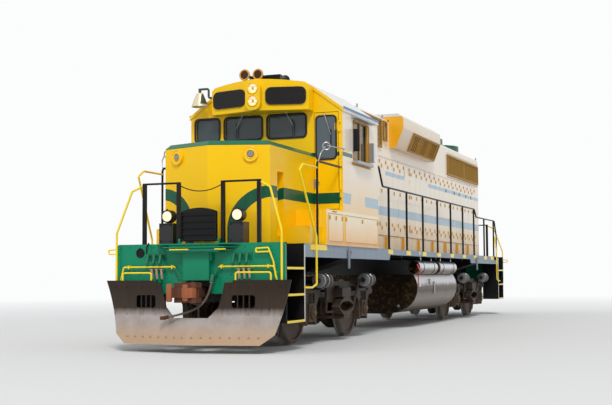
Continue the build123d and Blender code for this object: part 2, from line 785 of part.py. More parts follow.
with BuildPart() as cab_rear_wall:
    add(cab_envelope.part)
    block((cab_rear, cab_rear + cab_wall), (-inner_half, inner_half), (cab_floor, cab_crown),
          mode=Mode.INTERSECT)
    with BuildSketch(front_view(cab_rear - 1)):
        with Locations(((hood_half + 50 + inner_half - 40) / 2, sum(front_window) / 2)):
            RectangleRounded(inner_half - 90 - hood_half, front_window[1] - front_window[0], 60)
    extrude(amount=cab_wall + 2, mode=Mode.SUBTRACT)
    block((cab_rear - 1, cab_rear + cab_wall + 1), rear_door[0], rear_door[1], mode=Mode.SUBTRACT)
    door_lugs(door_table[1])
save(cab_rear_wall, "cab_rear_wall")

for row in door_table:
    name, outer_x, way, y_range, z_range, window_foot = row
    x = min(outer_x, outer_x - way * cab_wall)
    y0, y1 = y_range[0] + door_gap, y_range[1] - door_gap
    z0, z1 = z_range[0] + door_gap, z_range[1] - door_gap
    window = (
        (y0 + y1) / 2, (window_foot + z1 - door_window_inset) / 2,
        y1 - y0 - 2 * door_window_inset, z1 - door_window_inset - window_foot,
    )
    with BuildPart() as door:
        block((x, x + cab_wall), (y0, y1), (z0, z1))
        with BuildSketch(front_view(x - 1)):
            with Locations((window[0], window[1])):
                RectangleRounded(window[2], window[3], 50)
        extrude(amount=cab_wall + 2, mode=Mode.SUBTRACT)
        with BuildSketch(front_view(x + cab_wall / 2 - 4)):
            with Locations((window[0], window[1])):
                RectangleRounded(window[2] + 2, window[3] + 2, 50)
        extrude(amount=8)
        pin_x, pin_y, heights = door_pin(row)
        for height in heights:
            bar((pin_x, pin_y, height - 60), (pin_x, pin_y, height + 60), door_pin_radius)
            block((outer_x, pin_x), (y1 - 60, pin_y), (height - 60, height + 60))
    save(door, name)

with BuildPart() as glass:
    with BuildSketch(front_view(cab_front - cab_wall / 2 - 4)):
        for y0, y1 in windshields:
            with Locations(((y0 + y1) / 2, sum(front_window) / 2)):
                RectangleRounded(y1 - y0, front_window[1] - front_window[0], 60)
    extrude(amount=8)
    with BuildSketch(front_view(cab_rear + cab_wall / 2 - 4)):
        with Locations(((hood_half + 50 + inner_half - 40) / 2, sum(front_window) / 2)):
            RectangleRounded(inner_half - 90 - hood_half, front_window[1] - front_window[0], 60)
    extrude(amount=8)
    for pane_y in (cab_half - cab_wall / 2 + 4, -cab_half + cab_wall / 2 + 4):
        with BuildSketch(side_view(pane_y)):
            with Locations((sum(side_window[0]) / 2, sum(side_window[1]) / 2)):
                RectangleRounded(
                    side_window[0][1] - side_window[0][0], side_window[1][1] - side_window[1][0], 60
                )
        extrude(amount=8)
save(glass, "cab_glass")

with BuildPart() as interior:
    seat_floor = cab_floor + 30
    block((cab_rear + cab_wall, cab_front - cab_wall), (-inner_half, inner_half),
          (cab_floor, seat_floor))
    for seat_y in (-1010, 1010):
        block((4600, 5080), (seat_y - 230, seat_y + 230), (seat_floor + 430, seat_floor + 540))
        block((4540, 4640), (seat_y - 230, seat_y + 230), (seat_floor + 500, seat_floor + 1150))
        bar((4830, seat_y, seat_floor), (4830, seat_y, seat_floor + 440), 60)
    with BuildSketch(side_view(-500)):
        with BuildLine():
            Polyline(
                (5200, seat_floor), (5560, seat_floor), (5560, seat_floor + 1050),
                (5380, seat_floor + 1120), (5200, seat_floor + 900), (5200, seat_floor),
            )
        make_face()
    extrude(amount=520)
save(interior, "cab_interior")


# Visor over the windshields, with its number boards and twin headlight
with BuildPart() as visor:
    with BuildSketch(front_view(cab_front)):
        with BuildLine():
            roof_line(0)
            Line((-roof_edge, cab_eaves), (-roof_edge, visor_bottom))
            Line((roof_edge, cab_eaves), (roof_edge, visor_bottom))
            Line((-roof_edge, visor_bottom), (roof_edge, visor_bottom))
        make_face()
    extrude(amount=visor_point - cab_front)
    with BuildSketch(Plane.XY.offset(visor_bottom)):
        with BuildLine():
            Polyline(
                (cab_front + 20, -hood_half), (visor_front, -hood_half), (visor_point, 0),
                (visor_front, hood_half), (cab_front + 20, hood_half), (cab_front + 20, -hood_half),
            )
        make_face()
    extrude(amount=800, mode=Mode.INTERSECT)
save(visor, "visor")

visor_normal = Vector(hood_half, visor_point - visor_front, 0).normalized()
nose_normal = Vector(hood_half, nose_point - nose_front, 0).normalized()


def facet(point_x, corner_x, share, height, sign):
    """A plane on the left (sign 1) or right facet of a pointed front, facing out."""
    slope = point_x - corner_x
    return Plane(
        origin=(point_x - slope * share, sign * hood_half * share, height),
        x_dir=(-slope, sign * hood_half, 0) if sign > 0 else (slope, hood_half, 0),
        z_dir=(hood_half, sign * slope, 0),
    )


board_height = 4235.0
lamp_heights = (4150.0, 4370.0)
ditch_y = 600.0
ditch_height = 2080.0
class_height = 3045.0
with BuildPart() as lamps:
    with BuildSketch(front_view(visor_point - 60)):
        with Locations((0, (visor_bottom + 4480) / 2)):
            RectangleRounded(280, 4480 - visor_bottom, 120)
    extrude(amount=130)
    for sign in (-1, 1):
        with BuildSketch(Plane.XY.offset(visor_bottom - 1)):
            with BuildLine():
                Polyline(
                    (visor_point - 300, 0), (visor_point, 0), (visor_front, sign * hood_half),
                    (visor_point - 300, sign * hood_half), (visor_point - 300, 0),
                )
            make_face()
        extrude(amount=700, mode=Mode.SUBTRACT)
    for lamp in lamp_heights:
        bar((visor_point + 40, 0, lamp), (visor_point + 71, 0, lamp), 88, mode=Mode.SUBTRACT)
    for sign in (-1, 1):
        block((end_x - 240, end_x - 20), (sign * (ditch_y - 120), sign * (ditch_y + 120)),
              (deck_height, ditch_height - 110))
        bar((end_x - 130, sign * ditch_y, ditch_height - 112), (end_x - 130, sign * ditch_y, ditch_height), 40)
        bar((end_x - 190, sign * ditch_y, ditch_height), (end_x - 50, sign * ditch_y, ditch_height), 100)
        bar((end_x - 70, sign * ditch_y, ditch_height), (end_x - 49, sign * ditch_y, ditch_height), 84,
            mode=Mode.SUBTRACT)
        with BuildSketch(facet(nose_point, nose_front, 0.69, class_height, sign)):
            Circle(120)
            Circle(58, mode=Mode.SUBTRACT)
        extrude(amount=34)
        with BuildSketch(facet(visor_point, visor_front, 0.58, board_height, sign)):
            RectangleRounded(600, 270, 80)
        extrude(amount=16)
save(lamps, "lamp_housings")

with BuildPart() as lenses:
    for lamp in lamp_heights:
        bar((visor_point + 40, 0, lamp), (visor_point + 56, 0, lamp), 88)
    for sign in (-1, 1):
        bar((end_x - 70, sign * ditch_y, ditch_height), (end_x - 56, sign * ditch_y, ditch_height), 84)
        with BuildSketch(facet(nose_point, nose_front, 0.69, class_height, sign)):
            Circle(58)
        extrude(amount=20)
save(lenses, "lamp_lenses")


# Horns on the roof and the bell at the front corner
horn_table = (  # y, x of the mouth, direction, length
    (-330.0, 5980.0, 1, 520.0),
    (-90.0, 5940.0, 1, 430.0),
    (120.0, 5200.0, -1, 400.0),
)
horn_height = cab_crown + 150
with BuildPart() as horns:
    for horn_y, mouth_x, way, length in horn_table:
        with BuildSketch(Plane.XY.offset(horn_height)):
            with BuildLine():
                throat = mouth_x - way * length
                Polyline((mouth_x, horn_y), (mouth_x, horn_y + 100))
                ThreePointArc(
                    (mouth_x, horn_y + 100), (mouth_x - way * 90, horn_y + 48),
                    (mouth_x - way * 220, horn_y + 30),
                )
                Polyline((mouth_x - way * 220, horn_y + 30), (throat, horn_y + 22), (throat, horn_y),
                         (mouth_x, horn_y))
            make_face()
        revolve(axis=Axis((0, horn_y, horn_height), (1, 0, 0)))
    block((5480, 5600), (-400, 190), (horn_height - 45, horn_height + 45))
    block((5500, 5580), (-140, -40), (cab_crown, horn_height - 44))
save(horns, "horns")

bell_x = 6060.0
bell_y = -1170.0
bell_mouth = 4160.0
with BuildPart() as bell:
    with BuildSketch(side_view(bell_y)):
        with BuildLine():
            Line((bell_x, bell_mouth + 250), (bell_x + 60, bell_mouth + 240))
            ThreePointArc(
                (bell_x + 60, bell_mouth + 240), (bell_x + 98, bell_mouth + 150),
                (bell_x + 150, bell_mouth),
            )
            Line((bell_x + 150, bell_mouth), (bell_x + 136, bell_mouth))
            ThreePointArc(
                (bell_x + 136, bell_mouth), (bell_x + 84, bell_mouth + 145), (bell_x, bell_mouth + 225)
            )
            Line((bell_x, bell_mouth + 225), (bell_x, bell_mouth + 250))
        make_face()
    revolve(axis=Axis((bell_x, bell_y, 0), (0, 0, 1)))
    bar((bell_x, bell_y, bell_mouth + 245), (bell_x, bell_y, bell_mouth + 300), 26)
    bar((bell_x, bell_y, bell_mouth + 30), (bell_x, bell_y, bell_mouth + 235), 12)
    with Locations((bell_x, bell_y, bell_mouth + 30)):
        Sphere(30)
    pipe(
        ((bell_x, -hood_half, 4310), (bell_x, bell_y + 175, 4310), (bell_x, bell_y + 175, 4475),
         (bell_x, bell_y - 20, 4475)), 20, 35,
    )
    bar((bell_x, bell_y, bell_mouth + 300), (bell_x, bell_y, 4476), 26)
save(bell, "bell")


# Hood doors: a row of proud panels down each side, and the hinged engine doors
engine_pin_inset = 20.0
engine_pin_radius = 14.0
engine_pin_y = hood_half + door_proud + engine_pin_radius + joint_gap
engine_pin_heights = (2150.0, 3380.0)
with BuildPart() as hood_doors:
    first_door = int((cab_rear - 500) / door_pitch)
    for index in range(first_door + int((-hood_rear - 300) / door_pitch) + 1):
        middle = door_pitch * (first_door - index)
        if middle == 0:
            continue
        x0 = middle - (door_pitch - door_seam) / 2
        block((x0, x0 + door_pitch - door_seam), (hood_half, hood_half + door_proud), hood_door_z)
    lug_y = hood_half + door_proud
    for pin_z in engine_pin_heights:
        for side in (-1, 1):
            lug_z = (pin_z + side * (60 + joint_gap), pin_z + side * 90)
            pin_x = door_pitch / 2 - engine_pin_inset
            bar((pin_x, engine_pin_y, lug_z[0]), (pin_x, engine_pin_y, lug_z[1]), engine_pin_radius)
            block((pin_x, door_pitch / 2 + 40), (lug_y + joint_gap, lug_y + 10), lug_z)
            block((door_pitch / 2 + 12, door_pitch / 2 + 40), (lug_y, lug_y + 10), lug_z)
    mirror(about=Plane.XZ)
save(hood_doors, "hood_doors")


# Engine doors: one on each side that swings out to give access to the engine
engine_door_table = (  # name, side, edge with the hinges
    ("engine_door_left", 1, door_pitch / 2),
    ("engine_door_right", -1, door_pitch / 2),
)
for name, side_sign, hinge_x in engine_door_table:
    with BuildPart() as engine_door:
        outer_y = side_sign * (hood_half + door_proud)
        block((5 - hinge_x, hinge_x - 5), (side_sign * (hood_half - 20), outer_y),
              (hood_door_z[0] + 5, hood_door_z[1] - 5))
        for latch_z in (2300, 2770, 3240):
            block((30 - hinge_x, 110 - hinge_x), (outer_y, outer_y + side_sign * 22), (latch_z - 20, latch_z + 20))
        for pin_z in engine_pin_heights:
            pin_x = hinge_x - engine_pin_inset
            pin_y = side_sign * engine_pin_y
            bar((pin_x, pin_y, pin_z - 60), (pin_x, pin_y, pin_z + 60), engine_pin_radius)
            block((pin_x - 60, pin_x), (outer_y, pin_y), (pin_z - 60, pin_z + 60))
    save(engine_door, name)


# Dynamic brake housing: a flared saddle over the hood with a grille in each flank
with BuildPart() as brake_box:
    with BuildSketch(front_view(brake_box_rear)):
        with BuildLine():
            Polyline(
                (hood_half, brake_box_bottom), (hood_half + flare_foot, brake_box_bottom),
                (brake_box_half, 4250), (brake_box_half, 4470),
                (brake_box_half - 120, brake_box_top), (0, brake_box_top), (0, hood_top),
                (hood_half, hood_top), (hood_half, brake_box_bottom),
            )
        make_face()
        mirror(about=Plane.YZ)
    extrude(amount=brake_box_front - brake_box_rear)
    with Locations((brake_fan_x, 0, brake_box_top)):
        Cylinder(fan_radius - 60, 60, mode=Mode.SUBTRACT)
    for stack_x, stack_foot in ((820, brake_box_top), (-2250, hood_top)):
        with BuildSketch(Plane.XY.offset(stack_foot)):
            with Locations((stack_x, 0)):
                RectangleRounded(320, 760, 60)
                RectangleRounded(270, 710, 40, mode=Mode.SUBTRACT)
        extrude(amount=brake_box_top + 110 - stack_foot)
save(brake_box, "brake_housing")

radiator_front = -3770.0
radiator_rear = -7400.0
radiator_z = (3690.0, 4220.0)
flare_run = Vector(0, brake_box_half - hood_half - flare_foot, 4250 - brake_box_bottom)
flare_grille_front = brake_box_front - 850
flare_grille_rear = brake_box_rear + 60
flare_middle = Vector((flare_grille_front + flare_grille_rear) / 2,
                      (hood_half + flare_foot + brake_box_half) / 2, (brake_box_bottom + 4250) / 2)
intake_x = (1950.0, cab_rear - 40)
intake_z = (3770.0, hood_top - 70)
with BuildPart() as grilles:
    middle = (radiator_front + radiator_rear) / 2
    for x0, x1 in ((radiator_rear, middle - 10), (middle + 10, radiator_front)):
        with BuildSketch(side_view(hood_half + 34)):
            with Locations(((x0 + x1) / 2, sum(radiator_z) / 2)):
                Rectangle(x1 - x0, radiator_z[1] - radiator_z[0])
                Rectangle(x1 - x0 - 90, radiator_z[1] - radiator_z[0] - 90, mode=Mode.SUBTRACT)
        extrude(amount=34)
        slats = 26
        step = (x1 - x0 - 90) / slats
        for slat in range(slats):
            slat_x = x0 + 45 + (slat + 0.5) * step
            block((slat_x - 9, slat_x + 9), (hood_half, hood_half + 26),
                  (radiator_z[0] + 45, radiator_z[1] - 45))
    flare_plane = Plane(origin=flare_middle, x_dir=(1, 0, 0),
                        z_dir=(0, flare_run.Z, -flare_run.Y))
    flare_width = flare_run.length
    with BuildSketch(flare_plane):
        flare_length = flare_grille_front - flare_grille_rear
        Rectangle(flare_length, flare_width - 30)
        Rectangle(flare_length - 90, flare_width - 120, mode=Mode.SUBTRACT)
        bars = 17
        with GridLocations((flare_length - 90) / bars, 0, bars, 1):
            Rectangle(24, flare_width - 110)
    extrude(amount=26)
    with BuildSketch(side_view(hood_half + 40)):
        with Locations((sum(intake_x) / 2, sum(intake_z) / 2)):
            Rectangle(intake_x[1] - intake_x[0], intake_z[1] - intake_z[0])
            Rectangle(intake_x[1] - intake_x[0] - 90, intake_z[1] - intake_z[0] - 90, mode=Mode.SUBTRACT)
        with Locations((1680, (3940 + intake_z[1]) / 2)):
            Rectangle(240, intake_z[1] - 3940)
            Rectangle(160, intake_z[1] - 3940 - 80, mode=Mode.SUBTRACT)
    extrude(amount=40)
    louvres = 9
    louvre_pitch = (intake_z[1] - intake_z[0] - 90) / louvres
    for louvre in range(louvres):
        louvre_z = intake_z[0] + 45 + (louvre + 0.5) * louvre_pitch
        block((intake_x[0] + 45, intake_x[1] - 45), (hood_half, hood_half + 22),
              (louvre_z - 17, louvre_z + 17))
    mirror(about=Plane.XZ)
save(grilles, "side_grilles")


# Roof fans: housings with a guard over each rotor, and the rotors
fan_table = (  # name, x, foot of the housing
    ("radiator_fan_front", radiator_fan_x[0], hood_top),
    ("radiator_fan_rear", radiator_fan_x[1], hood_top),
    ("brake_fan", brake_fan_x, brake_box_top),
)
guard_height = 14.0
with BuildPart() as housings:
    for name, x, foot in fan_table:
        with BuildSketch(Plane.XY.offset(foot)):
            with Locations((x, 0)):
                Circle(fan_radius + 30)
                Circle(fan_radius, mode=Mode.SUBTRACT)
        extrude(amount=fan_top - foot)
        with BuildSketch(Plane.XY.offset(fan_top - guard_height)):
            with Locations((x, 0)):
                for ring in (150, 270, 390, 510):
                    Circle(ring + 9)
                    Circle(ring - 9, mode=Mode.SUBTRACT)
            for spoke in range(4):
                with Locations(Location((x, 0, 0), (0, 0, 45 * spoke))):
                    Rectangle(2 * fan_radius + 20, 16)
        extrude(amount=guard_height)
        with Locations((x, 0, foot + 15)):
            Box(2 * fan_radius + 20, 120, 30)
        with Locations((x, 0, foot + 30)):
            Cylinder(95, 30, align=(Align.CENTER, Align.CENTER, Align.MIN))
save(housings, "fan_housings")

for name, x, foot in fan_table:
    blade_room = fan_top - guard_height - foot - 60 - joint_gap
    with BuildPart() as rotor:
        with Locations((x, 0, foot + 60 + joint_gap)):
            Cylinder(110, blade_room * 0.7, align=(Align.CENTER, Align.CENTER, Align.MIN))
        with Locations((x, 0, foot + 60 + joint_gap + blade_room * 0.35)):
            with PolarLocations(0, 8):
                with Locations(Location((345, 0, 0), (24, 0, 0))):
                    Box(490, 170, 10)
    save(rotor, name)


# Handrails along the walkways and across the ends
rail_radius = 19.0
post_radius = 22.0
end_post_half = 30.0
rail_y = half_width - 22
rail_height = 2845.0
rail_drop_x = -4700.0
stanchion_pitch = 1275.0
chain_links = 12
chain_sag = 105.0
end_rail_x = end_x - 26
with BuildPart() as handrails:
    y = rail_y
    pipe(
        ((cab_rear, y, 3200), (3660, y, 3200), (3420, y, rail_height), (rail_drop_x, y, rail_height),
         (rail_drop_x - 220, y, 2650), (-7300, y, 2650), (-7560, y, 2250), (-7560, y, deck_height)),
        rail_radius, 60,
    )
    for index in range(9):
        post_x = 3030 - index * stanchion_pitch
        top = rail_height if post_x > rail_drop_x else 2650
        bar((post_x, y, deck_height), (post_x, y, top), post_radius)
    pipe(((cab_front, y, 2990), (7000, y, 2990), (7000, y, deck_height)), rail_radius, 80)
    for x in (-end_rail_x, end_rail_x):
        for post_y in (380, 980):
            block((x - 22, x + 22), (post_y - end_post_half, post_y + end_post_half),
                  (deck_height, 2590))
        bar((x, 380 - end_post_half, 2590), (x, 980 + end_post_half, 2590), 16)
        for link in range(chain_links):
            start = link / chain_links
            finish = (link + 1) / chain_links
            bar((x, start * 380, 2560 - chain_sag * (1 - start**2)),
                (x, finish * 380, 2560 - chain_sag * (1 - finish**2)), 8)
    mirror(about=Plane.XZ)
save(handrails, "handrails")

step_rail_y = half_width + 45
front_hook = (
    (7000 + rail_radius + joint_gap, rail_y, 2880), (7640, rail_y, 2880), (7800, rail_y + 6, 2780)
)
rear_hook = (
    (-7560 + rail_radius + joint_gap, rail_y, 2200), (-7330, rail_y, 2200)
)
with BuildPart() as grab_rails:
    for sign, hook in ((1, front_hook), (-1, rear_hook)):
        pipe(
            ((sign * end_rail_x, 980 + end_post_half + 8.4, 2560), (sign * (end_x + 20), 1180, 2480),
             (sign * (pilot_face + 62), half_width - 30, 1820),
             (sign * (pilot_face + 62), half_width - 30, 1010),
             (sign * pilot_face, half_width - 30, 1010)), 17, 40,
        )
        pipe(
            (*hook, (sign * 7230, step_rail_y, 1760), (sign * 7230, step_rail_y, 1010),
             (sign * 7420, step_rail_y, 960), (sign * (well_x + 8), step_rail_y, 960),
             (sign * (well_x + 8), half_width, 960)), 17, 24,
        )
    handle_ends = []
    for y in (710, 1250):
        handle_ends.append(blade_back(y, plough_top) + plough_thickness / 2)
    pipe(
        ((handle_ends[0], 710, plough_top), (handle_ends[0], 710, plough_top + 115),
         (handle_ends[1], 1250, plough_top + 115), (handle_ends[1], 1250, plough_top)), 13, 35,
    )
    mirror(about=Plane.XZ)
save(grab_rails, "grab_rails")


# Drop steps: folded up behind the coupler, hinged to the deck's end
for end, sign in (("front", 1), ("rear", -1)):
    with BuildPart() as drop_step:
        x = sign * drop_hinge_x
        with BuildSketch(front_view(x - 12)):
            with BuildLine():
                Polyline((-305, drop_hinge_z + 440), (-305, drop_hinge_z), (305, drop_hinge_z),
                         (305, drop_hinge_z + 440))
                ThreePointArc((305, drop_hinge_z + 440), (0, drop_hinge_z + 500), (-305, drop_hinge_z + 440))
            make_face()
        extrude(amount=24)
        for flange_y in (-297, 297):
            block((x, x + sign * 40), (flange_y - 8, flange_y + 8), (drop_hinge_z + 30, drop_hinge_z + 430))
        for rib_z in (90, 190, 290, 390):
            block((x, x + sign * 34), (-297, 297),
                  (drop_hinge_z + rib_z - 9, drop_hinge_z + rib_z + 9))
        bar((x, -305, drop_hinge_z), (x, 305, drop_hinge_z), 18)
        for y0, y1 in ((-306, -290), (290, 306)):
            bar((x, y0, drop_hinge_z), (x, y1, drop_hinge_z), 10, mode=Mode.SUBTRACT)
    save(drop_step, f"drop_step_{end}")


# Uncoupling levers, air pipes with their cocks, and the mirrors
hose_radius = 17.0
hose_route = (
    (8570.0, 290.0, 1060.0), (8588.0, 284.0, 990.0), (8604.0, 268.0, 915.0), (8618.0, 240.0, 840.0),
    (8630.0, 200.0, 768.0), (8648.0, 145.0, 705.0), (8680.0, 70.0, 655.0), (8716.0, -20.0, 615.0),
    (8750.0, -120.0, 582.0), (8776.0, -225.0, 556.0), (8790.0, -320.0, 538.0),
)
hose_exit = Vector(*hose_route[0])
exit_way = (Vector(*hose_route[1]) - hose_exit).normalized()
with BuildPart() as fittings:
    for sign in (-1, 1):
        x = sign * (pilot_face + 60)
        pipe(
            ((x, 220.3, 1150), (x, 300, 1150), (x, 380, 1290), (x, 1270, 1290), (x, 1320, 1090)),
            13, 30,
        )
        for bracket_y in (420, 1180):
            block((sign * pilot_face, sign * (pilot_face + 78)), (bracket_y - 8, bracket_y + 8),
                  (1262, 1318))
    mirror(about=Plane.XZ)
    for sign in (-1, 1):
        for cock in range(3):
            for y_sign in (-1, 1):
                y = y_sign * (620 + 110 * cock)
                bar((sign * pilot_face, y, 1460), (sign * (pilot_face + 70), y, 1460), 20)
                bar((sign * (pilot_face + 60), y, 1480), (sign * (pilot_face + 95), y, 1340), 24)
        block((sign * pilot_face, sign * (pilot_face + 14)), (560, 900), (1400, 1500))
        block((sign * pilot_face, sign * (pilot_face + 14)), (-900, -560), (1400, 1500))
    bar((pilot_face, 300, 1140), (pilot_face + 105, 300, 1140), 26)
    bar(tuple(hose_exit - exit_way * 110), tuple(hose_exit), 30)
save(fittings, "end_fittings")

with BuildPart() as mirrors:
    for y_sign in (-1, 1):
        y0 = y_sign * cab_half
        block((5300, 5330), (y0, y0 + y_sign * 110), (3330, 3700))
        block((4330, 4400), (y0, y0 + y_sign * 90), (3200, 3560))
        block((4400, 5290), (y0, y0 + y_sign * 95), (side_window[1][0] - 70, side_window[1][0] - 20))
        with BuildSketch(side_view(y0)):
            with BuildLine():
                Polyline((4300, 3900), (5400, 3900), (5400, 3925), (4300, 3925), (4300, 3900))
            make_face()
        extrude(amount=-y_sign * 115)
save(mirrors, "side_window_fittings")


# The free-hanging brake hose with its coupling head
with BuildPart() as hose:
    runs = [(Vector(*b) - Vector(*a)).length for a, b in zip(hose_route, hose_route[1:])]
    radii = []
    for before, at, after, first, second in zip(
        hose_route, hose_route[1:], hose_route[2:], runs, runs[1:]
    ):
        turn = (Vector(*at) - Vector(*before)).get_angle(Vector(*after) - Vector(*at))
        radii.append(0.45 * min(first, second) / math.tan(math.radians(turn) / 2))
    with BuildLine() as hose_line:
        FilletPolyline(*hose_route, radius=radii)
    with BuildSketch(Plane(origin=hose_line.line @ 0, z_dir=hose_line.line % 0)):
        Circle(hose_radius)
    sweep(path=hose_line.line)
    print("hose radii", [round(radius) for radius in radii])
    hose_length = sum(edge.length for edge in hose_line.edges())
    print("hose length", round(hose_length), "volume over section",
          round(hose.part.volume / (math.pi * hose_radius**2)))
save(hose, "brake_hose")

hose_end = Vector(*hose_route[-1])
hose_way = (hose_end - Vector(*hose_route[-2])).normalized()
with BuildPart() as glad_hand:
    tip = hose_end + hose_way * 70
    bar(tuple(hose_end), tuple(tip), 26)
    with Locations(tuple(tip + Vector(0, -20, -5))):
        Cylinder(45, 50)
save(glad_hand, "glad_hand")
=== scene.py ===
"""Finishes, small fittings, the brake hose, light and camera of a four-axle diesel locomotive."""

import logging
import math
from dataclasses import dataclass, replace
from enum import Enum
from typing import Iterable, Optional, Sequence, Union

import bpy
from mathutils import Matrix, Vector


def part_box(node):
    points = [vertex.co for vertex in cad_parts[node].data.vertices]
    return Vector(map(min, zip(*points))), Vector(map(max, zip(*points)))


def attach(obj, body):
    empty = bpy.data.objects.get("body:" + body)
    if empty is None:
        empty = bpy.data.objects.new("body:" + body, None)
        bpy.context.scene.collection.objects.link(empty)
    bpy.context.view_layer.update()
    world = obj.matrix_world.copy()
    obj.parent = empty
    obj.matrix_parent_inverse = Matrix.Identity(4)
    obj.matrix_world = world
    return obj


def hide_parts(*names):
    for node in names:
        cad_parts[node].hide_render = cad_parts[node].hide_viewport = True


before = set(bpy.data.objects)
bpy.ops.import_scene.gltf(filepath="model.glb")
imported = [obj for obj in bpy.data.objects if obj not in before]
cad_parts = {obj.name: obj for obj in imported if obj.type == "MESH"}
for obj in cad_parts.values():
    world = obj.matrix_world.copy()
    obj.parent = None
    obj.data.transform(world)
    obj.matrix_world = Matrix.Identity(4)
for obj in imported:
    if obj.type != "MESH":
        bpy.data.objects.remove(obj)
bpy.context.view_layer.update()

log = logging.getLogger("locomotive")

Triple = tuple[float, float, float]
Socket = bpy.types.NodeSocket
Piece = bpy.types.Object

# Places that the dressing shares, in metres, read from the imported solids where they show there
BODY = "underframe_and_body"
DOOR_PROUD = 0.014
HOOD_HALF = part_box("hood")[1].y
HOOD_FACE = HOOD_HALF + DOOR_PROUD
HOOD_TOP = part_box("hood")[1].z
CAB_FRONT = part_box("cab_sides")[1].x
CAB_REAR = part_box("cab_sides")[0].x
CAB_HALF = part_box("cab_sides")[1].y
NOSE_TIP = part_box("nose")[1].x
NOSE_CORNER = 7.79
NOSE_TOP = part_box("nose")[1].z
VISOR_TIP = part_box("visor")[1].x
VISOR_CORNER = 6.08
DECK = 1.645
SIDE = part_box("pilots")[1].y
PLATFORM_REACH = 0.2
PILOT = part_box("pilots")[1].x - PLATFORM_REACH
RAIL_SIDE = 1.40
DOOR_PITCH = 0.45
POST_PITCH = 1.275
BAND = (2.372, 2.558)
TRIM = (NOSE_TOP - 0.08, NOSE_TOP - 0.008)
SWOOSH_CENTRE = (0.98, 1.87)
SWOOSH_LIFT = 0.003
BELL_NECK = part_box("bell")[0].z + 0.252
SIDES = (1, -1)
ENDS = (1, -1)
ORIGIN: Triple = (0.0, 0.0, 0.0)
PAPER: Triple = (0.97, 0.975, 0.98)


class Axis(Enum):
    """The way a round primitive points, as its turn from upright."""

    X = (0.0, math.pi / 2, 0.0)
    Y = (math.pi / 2, 0.0, 0.0)
    Z = (0.0, 0.0, 0.0)


def linear(code: str) -> Triple:
    """Linear red, green and blue of a six-figure screen colour."""
    parts = (int(code[index:index + 2], 16) / 255 for index in (1, 3, 5))
    return tuple(p / 12.92 if p <= 0.04045 else ((p + 0.055) / 1.055) ** 2.4 for p in parts)


class Wiring:
    """Adds and links the nodes of one node tree."""

    def __init__(self, tree: bpy.types.NodeTree) -> None:
        """Keeps the tree that the nodes go into.

        Args:
            tree: the node tree of a material or of a node group.
        """
        self.tree = tree

    def add(self, kind: str, *values, **named) -> bpy.types.Node:
        """Adds a node and fills its inputs in order.

        Args:
            kind: the node's type name.
            values: a socket to link or a constant for each input, None to leave one.
            named: settings of the node itself.

        Returns:
            The new node.
        """
        node = self.tree.nodes.new(kind)
        for name, setting in named.items():
            setattr(node, name, setting)
        for socket, value in zip(node.inputs, values):
            self.fill(socket, value)
        return node

    def fill(self, socket: Socket, value) -> None:
        """Links a socket or sets its constant."""
        if value is None:
            return
        if isinstance(value, bpy.types.NodeSocket):
            self.tree.links.new(value, socket)
        elif isinstance(value, tuple) and len(value) == 3 and socket.type == "RGBA":
            socket.default_value = (*value, 1.0)
        else:
            socket.default_value = value

    def math(self, operation: str, first, second=None, third=None) -> Socket:
        """Result of a math node."""
        return self.add("ShaderNodeMath", first, second, third, operation=operation).outputs[0]

    def mix(self, factor, first, second) -> Socket:
        """Mix of two colours."""
        node = self.add("ShaderNodeMix", data_type="RGBA")
        for index, value in ((0, factor), (6, first), (7, second)):
            self.fill(node.inputs[index], value)
        return node.outputs[2]

    def noise(self, vector: Socket, scale: float, detail: float = 4.0, rough: float = 0.55) -> Socket:
        """Cloudy noise between about 0.2 and 0.8."""
        node = self.add("ShaderNodeTexNoise")
        for name, value in (("Vector", vector), ("Scale", scale), ("Detail", detail), ("Roughness", rough)):
            self.fill(node.inputs[name], value)
        return node.outputs[0]

    def stretch(self, vector: Socket, scale: Triple) -> Socket:
        """A vector with each part scaled."""
        return self.add("ShaderNodeVectorMath", vector, scale, operation="MULTIPLY").outputs[0]

    def ramp(self, value: Socket, low: float, high: float, start: float = 0.0, end: float = 1.0) -> Socket:
        """A value from one range brought to another, held at its ends."""
        return self.add("ShaderNodeMapRange", value, low, high, start, end, clamp=True).outputs[0]

    def within(self, value: Socket, low, high) -> Socket:
        """Mask of 1 where the value lies between two others."""
        over = self.math("GREATER_THAN", value, low)
        return self.math("MULTIPLY", over, self.math("LESS_THAN", value, high))

    def all_of(self, *masks: Socket) -> Socket:
        """Product of masks."""
        result = masks[0]
        for mask in masks[1:]:
            result = self.math("MULTIPLY", result, mask)
        return result


